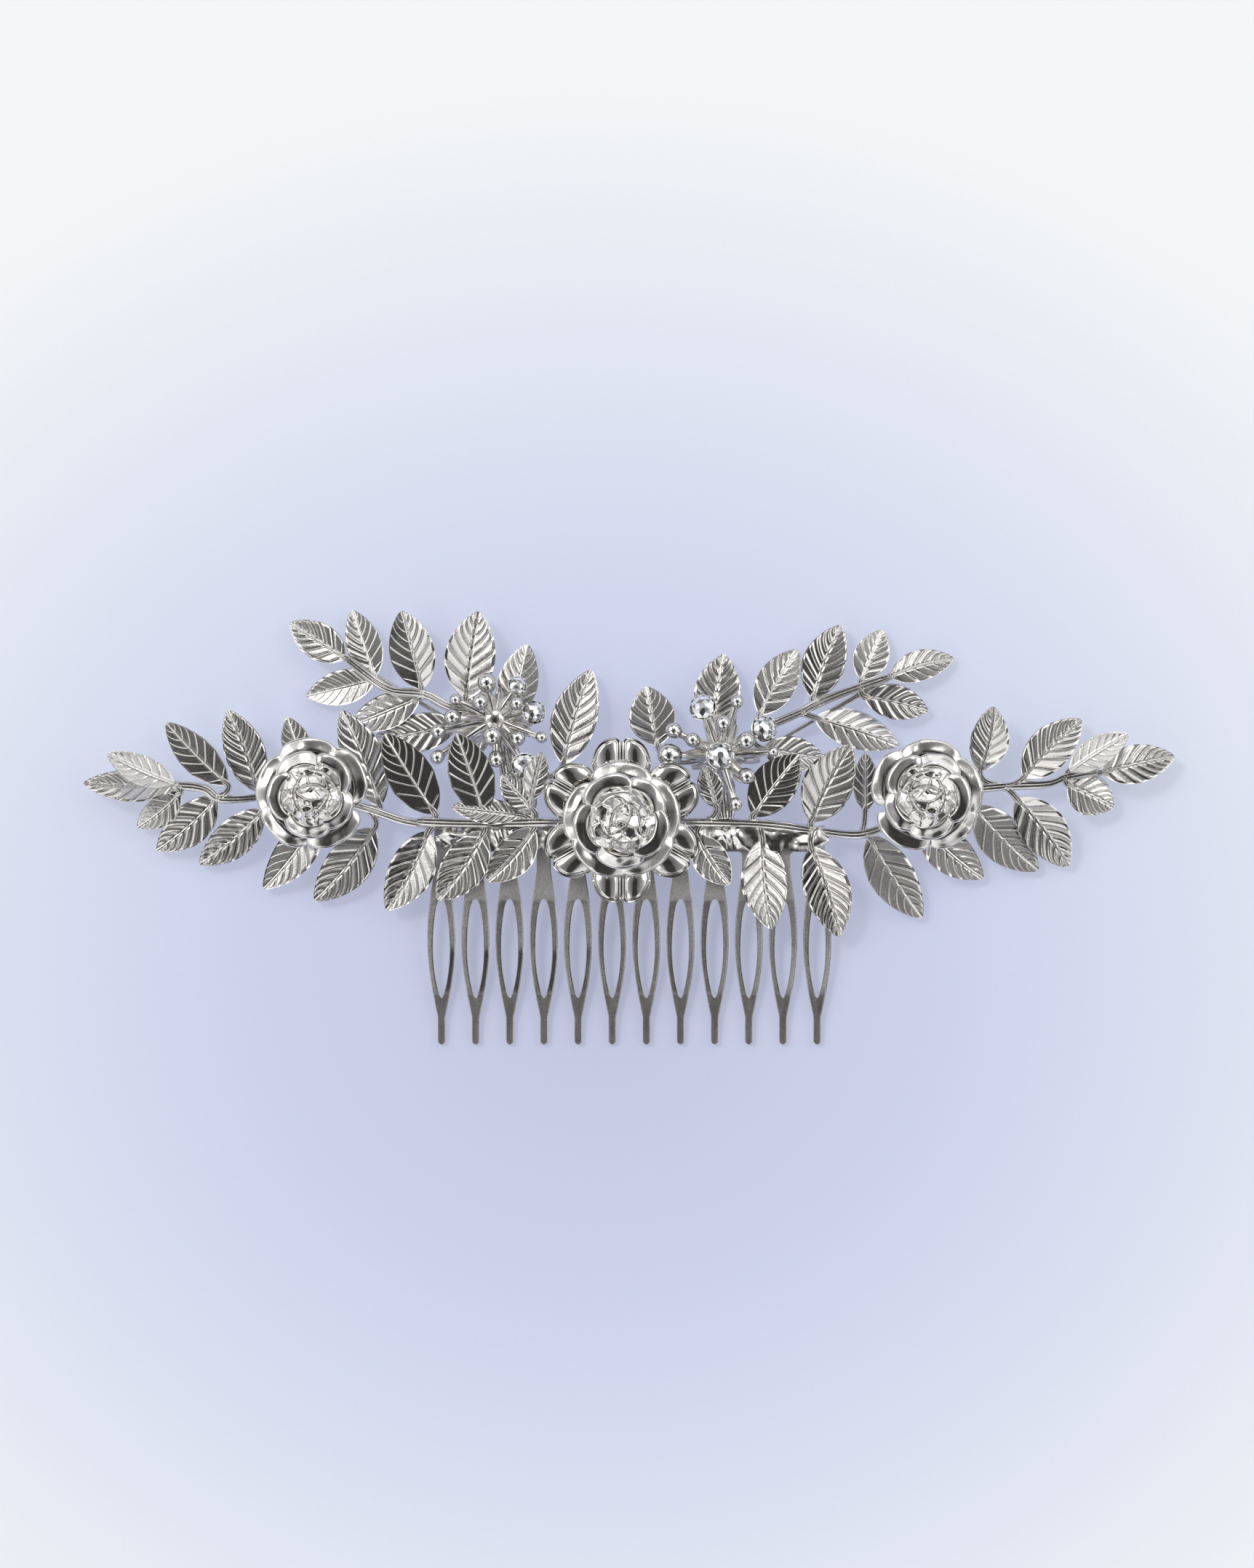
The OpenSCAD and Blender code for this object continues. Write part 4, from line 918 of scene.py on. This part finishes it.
def rose(prefix, at, z, turn, turn_in, r_out, r_in, bud_r, mirror=1):
    """two rounds of five petals and a bud; turn and turn_in are the azimuths of
    a petal of each round"""
    s, g = r_out / 7.2, r_in / 5.6
    outer, inner = Mesh(), Mesh()
    disc(outer, (at[0], at[1], z), 0.56, 3.0, 0.42)
    disc(inner, (at[0], at[1], z + 0.52), 0.56, 2.6, 0.42)
    for i in range(5):
        rs = np.random.RandomState(100 + i + int(turn))
        az = turn + 72 * i + rs.uniform(-7, 7)
        a = az if mirror > 0 else 180 - az
        e = rs.uniform(-0.25, 0.15)
        prof = [(2.4, .30), (3.9, .60), (4.8, 1.30), (5.25, 2.12), (5.42, 2.42), (5.68, 2.50), (6.3, 2.39 + e * .6), (6.92, 2.27 + e), (7.13, 2.17 + e), (7.2, 1.97 + e)]
        prof = [(x * s, y) for x, y in prof]
        petal(outer, (at[0], at[1], z), a, 40 + rs.uniform(-3, 3), prof, t=0.34, twist=rs.uniform(0.0, 0.3) * mirror, droop=0.38, round_ends=0.44, seed=i + 1, wave=0.16)
        az = turn_in + 72 * i + rs.uniform(-7, 7)
        a = az if mirror > 0 else 180 - az
        e = rs.uniform(-0.42, 0.12)
        lift = rs.uniform(-0.18, 0.18)
        prof = [(2.2, .32), (2.9, .80), (3.30, 1.9), (3.50, 2.85), (3.80, 3.52), (3.97, 3.80), (4.22, 3.87 + e * .2), (4.8, 3.77 + e * .7), (5.32, 3.66 + e), (5.53, 3.54 + e), (5.6, 3.30 + e)]
        prof = [(x, y + (lift if x > 3.2 else 0)) for x, y in prof]
        prof = [(x * g, y) for x, y in prof]
        petal(inner, (at[0], at[1], z + 0.52), a, 41 + rs.uniform(-3, 3), prof, t=0.32, twist=rs.uniform(0.12, 0.36) * mirror, droop=0.22, round_ends=0.34, seed=i + 11, wave=0.14, chord=-0.06)
    a = outer.make(prefix + "_outer", rose_silver, autosmooth=80)
    b = inner.make(prefix + "_inner", rose_silver, autosmooth=80)
    centre = prefix == "centre_rose"
    c = bud(prefix + "_heart", (at[0], at[1], z + 1.04), bud_r, 5.3, 8 if centre else 3, mirror, (-0.1, -0.5) if centre else (-0.6, -1.9))
    return a, b, c


def centre_flower():
    """six petals, each pressed into two lobes with a double rib between them"""
    mesh = Mesh()
    at, z0 = (-1.0, 0.9), 5.3
    disc(mesh, (at[0], at[1], z0), 0.56, 5.0, 0.45, n=72)
    disc(mesh, (at[0], at[1], z0 + 0.40), 0.56, 1.7, 0.5)
    na, nb, wide = 60, 77, 3.75
    for i in range(6):
        az = math.radians(30 + 60 * i)
        b = np.sin(np.linspace(-np.pi / 2, np.pi / 2, nb)) * 0.4 + np.linspace(-1, 1, nb) * 0.6
        y = np.abs(b) * wide
        # the outline: two rounded lobes that meet in a notch
        far = 7.1 + 3.45 * np.sqrt(np.clip(1 - (y / wide) ** 2.55, 0, 1)) - 0.60 * np.exp(-(y / 0.45) ** 1.7)
        near = 3.9 + 3.1 * np.clip((y - 2.3) / (wide - 2.3), 0, 1) ** 2.2
        t = 1 - (1 - np.linspace(0, 1, na)) ** 1.35
        A = near[None, :] + (far - near)[None, :] * t[:, None]
        Yl = np.repeat((b * wide)[None, :], na, 0)
        edge = np.vstack([np.stack([far, b * wide], 1), np.stack([near, b * wide], 1)[np.abs(b) > 0.66]])
        dist = np.sqrt(((A[..., None] - edge[:, 0]) ** 2 + (Yl[..., None] - edge[:, 1]) ** 2).min(-1))
        dist = np.where(A < 5.2, np.maximum(dist, 0), dist)
        ya = np.abs(Yl)
        lobe = smooth(0.30, 0.62, dist) * smooth(0.42, 0.72, ya)
        dome = 0.80 * np.clip(1 - ((ya - 1.75) / 2.35) ** 2 - ((A - 7.9) / 3.9) ** 2, 0, 1) ** 1.15
        ribs = 0.13 * np.exp(-((ya - 0.22) / 0.15) ** 2) * smooth(0.0, 0.6, far[None, :] - A)
        rim = 0.11 * np.exp(-(dist / 0.17) ** 2)
        lean, roll = ((0.02, 0.05), (0.0, 0.0), (0.05, -0.06), (-0.10, -0.05), (-0.02, 0.0), (-0.10, 0.06))[i]
        Z = z0 + 0.45 + (0.05 + lean) * (A - 4) + roll * Yl + dome + 0.13 * lobe + ribs + rim
        pts = np.stack([A * math.cos(az) - Yl * math.sin(az) + at[0], A * math.sin(az) + Yl * math.cos(az) + at[1], Z], -1)
        pts[..., 2] += 0.05 * noise3(pts * 0.5 + i, 11)
        bottom = pts - np.array([0, 0, 0.36])
        # painted shade in the groove inside each lobe's rim and beside the middle ribs; the underside is set a little
        # darker
        groove = 0.7 * np.exp(-((dist - 0.29) / 0.07) ** 2) + 0.6 * np.exp(-((ya - 0.44) / 0.08) ** 2)
        v, f = closed_sheet(pts, bottom)
        mesh.add(v, f, np.concatenate([np.clip(1 - groove, 0.15, 1).ravel(), np.full(groove.size, 0.8)]))
    return mesh.make("flower", flower_silver, autosmooth=75)


# ---------------------------------------------------------------- bead clusters
LEFT_HUB, RIGHT_HUB = (-17.1, 13.7, 4.4), (11.5, 9.1, 4.4)
LEFT_BEADS = [
    (-22.5, 14.0, 5.6, 1.02), (-22.1, 16.2, 4.9, 0.74), (-18.9, 15.9, 6.8, 1.02),
    (-18.1, 18.4, 5.2, 1.2), (-14.3, 15.7, 6.6, 0.83), (-17.4, 11.6, 7.2, 1.2),
    (-14.2, 11.3, 5.6, 1.02), (-11.1, 11.4, 5.2, 0.74), (-24.3, 12.2, 4.6, 0.92),
    (-24.4, 8.9, 4.4, 0.92), (-16.9, 8.6, 5.3, 1.02)]
LEFT_CRYSTALS = [(-14.2, 18.0, 5.0, 1.11), (-12.1, 14.6, 5.2, 1.39), (-13.4, 7.9, 5.2, 1.48)]
RIGHT_BEADS = [
    (11.9, 13.2, 6.6, 1.02), (13.7, 16.0, 4.9, 0.83), (5.6, 12.3, 5.2, 1.02),
    (8.0, 11.1, 6.6, 0.92), (5.0, 9.2, 5.5, 1.48), (14.8, 11.0, 6.8, 1.11),
    (14.9, 6.5, 5.8, 1.02), (13.5, 2.9, 5.4, 0.83), (18.3, 9.6, 4.7, 0.65)]
RIGHT_CRYSTALS = [(9.3, 15.2, 5.6, 1.57), (17.1, 12.5, 5.3, 1.57)]


def frame_of(d):
    d = np.asarray(d, float)
    d = d / np.linalg.norm(d)
    a = np.cross(d, (0, 0, 1.0) if abs(d[2]) < 0.9 else (1.0, 0, 0))
    a /= np.linalg.norm(a)
    return a, np.cross(d, a), d


def turned(mesh, origin, d, prof, n=28, facet=None, shade=None):
    """a closed turned shape: prof is (radius, distance along d), ends at 0"""
    a, b, c = frame_of(d)
    ang = np.arange(n) * 2 * np.pi / n
    inner = prof[1:-1]
    v = [np.array(origin) + c * prof[0][1]]
    for r, h in inner:
        for t in ang:
            v.append(np.array(origin) + a * (r * math.cos(t)) + b * (r * math.sin(t)) + c * h)
    v.append(np.array(origin) + c * prof[-1][1])
    m = len(inner)
    f = [(0, 1 + (j + 1) % n, 1 + j) for j in range(n)]
    f += [q for q in grid_faces(m, n, 1, True, wrap_n=True)]
    last = 1 + m * n
    f += [(last, 1 + (m - 1) * n + j, 1 + (m - 1) * n + (j + 1) % n) for j in range(n)]
    mesh.add(v, f, None if shade is None else np.full(len(v), shade))


def bead(name, hub, b):
    mesh = Mesh()
    c, r = np.array(b[:3]), b[3]
    d = np.array(hub) - c
    prof = []
    for t in np.linspace(0, np.pi, 34):
        rr, h = math.sin(t), -math.cos(t)
        if h > 0.45:       # drawn out a little towards its arm, then a small collar
            k = (h - 0.45) / 0.55
            rr, h = rr * (1 - 0.25 * k) + 0.10 * math.sin(math.pi * k), h + 0.22 * k
        prof.append((max(rr, 0) * r, h * r))
    prof[0], prof[-1] = (0, prof[0][1]), (0, prof[-1][1])
    turned(mesh, c, d, prof, 44)
    # painted shade on the ball's sides and below
    mesh.paint_ball_shade(c[2], r)
    return mesh.make(name, bead_silver)


def cut_stone(name, c, r, d, n=8):
    """a round brilliant: table, star and main facets, girdle and pavilion"""
    mesh = Mesh()
    a, b, k = frame_of(d)
    rings = [(0.26, 0.54, 0.0), (0.62, 0.40, 0.5), (0.90, 0.20, 0.0), (1.0, 0.05, 0.5), (1.0, -0.05, 0.5), (0.58, -0.48, 0.0)]
    v = []
    for rad, h, off in rings:
        for j in range(n):
            t = 2 * np.pi * (j + off) / n
            v.append(np.array(c) + r * (a * (rad * math.cos(t)) + b * (rad * math.sin(t)) + k * h))
    v.append(np.array(c) + r * k * -0.86)
    f = [tuple(range(n))]
    for i in range(len(rings) - 1):
        o0, o1 = rings[i][2], rings[i + 1][2]
        for j in range(n):
            A, B = i * n + j, i * n + (j + 1) % n
            C, D = (i + 1) * n + j, (i + 1) * n + (j + 1) % n
            if o0 == o1:
                f.append((A, C, D, B))
            elif o1 > o0:      # C lies between A and B
                f.append((A, C, B))
                f.append((B, C, D))
            else:              # A lies between C and D
                f.append((A, C, D))
                f.append((A, D, B))
    last = len(rings) * n
    f += [((len(rings) - 1) * n + j, last, (len(rings) - 1) * n + (j + 1) % n) for j in range(n)]
    mesh.add(v, f)
    return mesh.make(name, clear_crystal, flat=True)


def stone_axis(hub, b):
    d = np.array(b[:3]) - np.array(hub)
    d = d / np.linalg.norm(d)
    k = d * 0.35 + np.array([0, 0, 1.0])
    return k / np.linalg.norm(k)


def cup(mesh, b, axis):
    """the claw cup that holds a stone"""
    c, r = np.array(b[:3]), b[3]
    a, bb, k = frame_of(axis)
    prof = [(0, -0.98), (0.30, -0.98), (0.62, -0.66), (1.04, -0.10), (1.10, 0.05), (1.04, 0.10), (0.98, -0.02), (0.60, -0.56), (0.0, -0.92)]
    turned(mesh, c, k, [(x * r, h * r) for x, h in prof], 24, shade=0.85)
    for j in range(4):
        t = math.pi / 4 + j * math.pi / 2
        p = c + r * (a * (1.02 * math.cos(t)) + bb * (1.02 * math.sin(t)))
        ball = [(math.sin(x) * 0.17 * r, -math.cos(x) * 0.17 * r) for x in np.linspace(0, math.pi, 9)]
        ball[0], ball[-1] = (0, ball[0][1]), (0, ball[-1][1])
        turned(mesh, p + k * 0.12 * r, k, ball, 12)


def cluster_arms(name, hub, beads, stones, crown):
    mesh = Mesh()
    hub = np.array(hub)
    z0 = 3.7 - hub[2]
    w = 1.9 if crown else 1.27
    prof = [(0, z0), (w - 0.07, z0), (w, z0 + 0.08), (w, 0.95), (w - 0.09, 1.13), (w - 0.32, 1.20)]
    prof += [(0.0, 1.20)] if crown else [(0.7, 1.30), (0.35, 1.37), (0.0, 1.38)]
    turned(mesh, hub, (0, 0, 1), prof, 40)
    for b in beads + stones:
        c, r = np.array(b[:3]), b[3]
        d = c - hub
        L = np.linalg.norm(d)
        end = L - r * (1.05 if b in beads else 0.55)
        steps = np.linspace(0, 1, 10)
        rad = np.interp(steps, [0, .25, .6, .88, 1], [.55, .50, .44, .40, .50])
        prof = [(0, 0)] + [(x, end * s) for x, s in zip(rad, steps)] + [(0.2, end + 0.12), (0, end + 0.14)]
        turned(mesh, hub, d, prof, 18)
        # a pressed ribbon under the arm, wide at the hub
        run = np.linspace(0.12, 0.92, 9)[:, None]
        under = hub + (0, 0, -0.62) + d / L * end * run
        under[:, 2] -= 0.25 * np.sin(np.pi * run[:, 0])
        under[:, 2] = np.maximum(under[:, 2], 3.0)
        strip(mesh, under, np.interp(run[:, 0], [0, .3, .75, 1], [1.9, 1.75, 1.45, 0.6]), np.full(9, 0.46), BLADE)
    # short pressed blades fan out from the hub between the arms
    rs = np.random.RandomState(5 if crown else 9)
    for q in range(7 if crown else 13):
        t = (q + rs.uniform(-0.25, 0.25)) * 2 * math.pi / (7 if crown else 13)
        long = rs.uniform(2.6, 4.4) * (1.0 if crown else 1.1)
        run = np.linspace(0, 1, 8)
        r0 = 1.0
        blade = np.stack([hub[0] + math.cos(t) * (r0 + long * run), hub[1] + math.sin(t) * (r0 + long * run),
                          hub[2] - 0.30 - long * math.tan(math.radians(rs.uniform(16, 26))) * run ** 1.1], -1)
        blade[:, 2] = np.maximum(blade[:, 2], 3.0)
        strip(mesh, blade, np.interp(run, [0, .35, .8, 1], [.8, 1.35, 1.2, .5]), np.full(8, 0.40), BLADE)
    for b in stones:
        cup(mesh, b, stone_axis(hub, b))
    return mesh.make(name, fitting_silver, autosmooth=60)


# ---------------------------------------------------------------- put together
def place(o, node):
    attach(o, "root")
    for n in ([node] if isinstance(node, str) else node):
        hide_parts(n)


build_world()
place(comb_plate(), "comb_plate")
for spray_name in LEAVES:
    place(spray(spray_name), spray_name)
place(centre_flower(), "centre_flower")
for prefix, at, z, turn, turn_in, r_out, r_in, bud_r, mirror in (
    ("centre_rose", (-1.0, 0.9), 6.2, 16, 45, 7.4, 6.1, 4.35, 1),
    ("left_rose", (-40.2, 4.2), 4.2, 18, 38, 7.2, 5.6, 4.0, 1),
    ("right_rose", (37.6, 4.0), 4.2, 18, 38, 7.2, 5.6, 4.0, -1),
):
    a, b, c = rose(prefix, at, z, turn, turn_in, r_out, r_in, bud_r, mirror)
    place(a, prefix + "_outer_petals")
    place(b, prefix + "_inner_petals")
    place(c, prefix + "_bud")
    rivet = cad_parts[prefix + "_rivet"]
    rivet.data.materials.clear()
    rivet.data.materials.append(fitting_silver)
place(cluster_arms("left_arms", LEFT_HUB, LEFT_BEADS, LEFT_CRYSTALS, False), "left_cluster_arms")
place(cluster_arms("right_arms", RIGHT_HUB, RIGHT_BEADS, RIGHT_CRYSTALS, True), "right_cluster_arms")
for side, hub, beads, stones in (("left", LEFT_HUB, LEFT_BEADS, LEFT_CRYSTALS), ("right", RIGHT_HUB, RIGHT_BEADS, RIGHT_CRYSTALS)):
    for i, b in enumerate(beads):
        place(bead(f"{side}_ball_{i + 1}", hub, b), f"{side}_bead_{i + 1}")
    for i, b in enumerate(stones):
        k = stone_axis(hub, b)
        place(cut_stone(f"{side}_stone_{i + 1}", np.array(b[:3]) + k * 0.05, b[3] * 0.98, k), f"{side}_crystal_{i + 1}")
hub_top = np.array([RIGHT_HUB[0], RIGHT_HUB[1], RIGHT_HUB[2] + 1.2])
place(cut_stone("right_hub_stone", hub_top + (0, 0, 0.70), 1.62, (0.05, 0.1, 1.0), n=10), "right_hub_crystal")

# ---------------------------------------------------------------- floor, light, camera
me = bpy.data.meshes.new("floor")
g = 2.0
me.from_pydata([(-g, -g, -0.00002), (g, -g, -0.00002), (g, g, -0.00002), (-g, g, -0.00002)], [], [(0, 1, 2, 3)])
floor = bpy.data.objects.new("floor", me)
bpy.context.scene.collection.objects.link(floor)
me.materials.append(floor_paint())

key = bpy.data.lights.new("key", "SUN")
key.energy = 0.7
key.angle = math.radians(14)
key_o = bpy.data.objects.new("key", key)
bpy.context.scene.collection.objects.link(key_o)
key_o.rotation_euler = (math.radians(-22), math.radians(-28), 0)
key_o.visible_glossy = False        # the metal mirrors the tent, not the lamp

cam = bpy.data.cameras.new("camera")
cam.lens = 180
cam.sensor_width = 36
cam.clip_start, cam.clip_end = 0.01, 20
cam_o = bpy.data.objects.new("camera", cam)
bpy.context.scene.collection.objects.link(cam_o)
cam_o.location = (-0.0003, 0.0055, 0.1992 / 36 * 180 + 0.004)
cam_o.rotation_euler = (0, 0, 0)
bpy.context.scene.camera = cam_o
bpy.context.scene.view_settings.view_transform = "Standard"
bpy.context.scene.view_settings.look = "None"
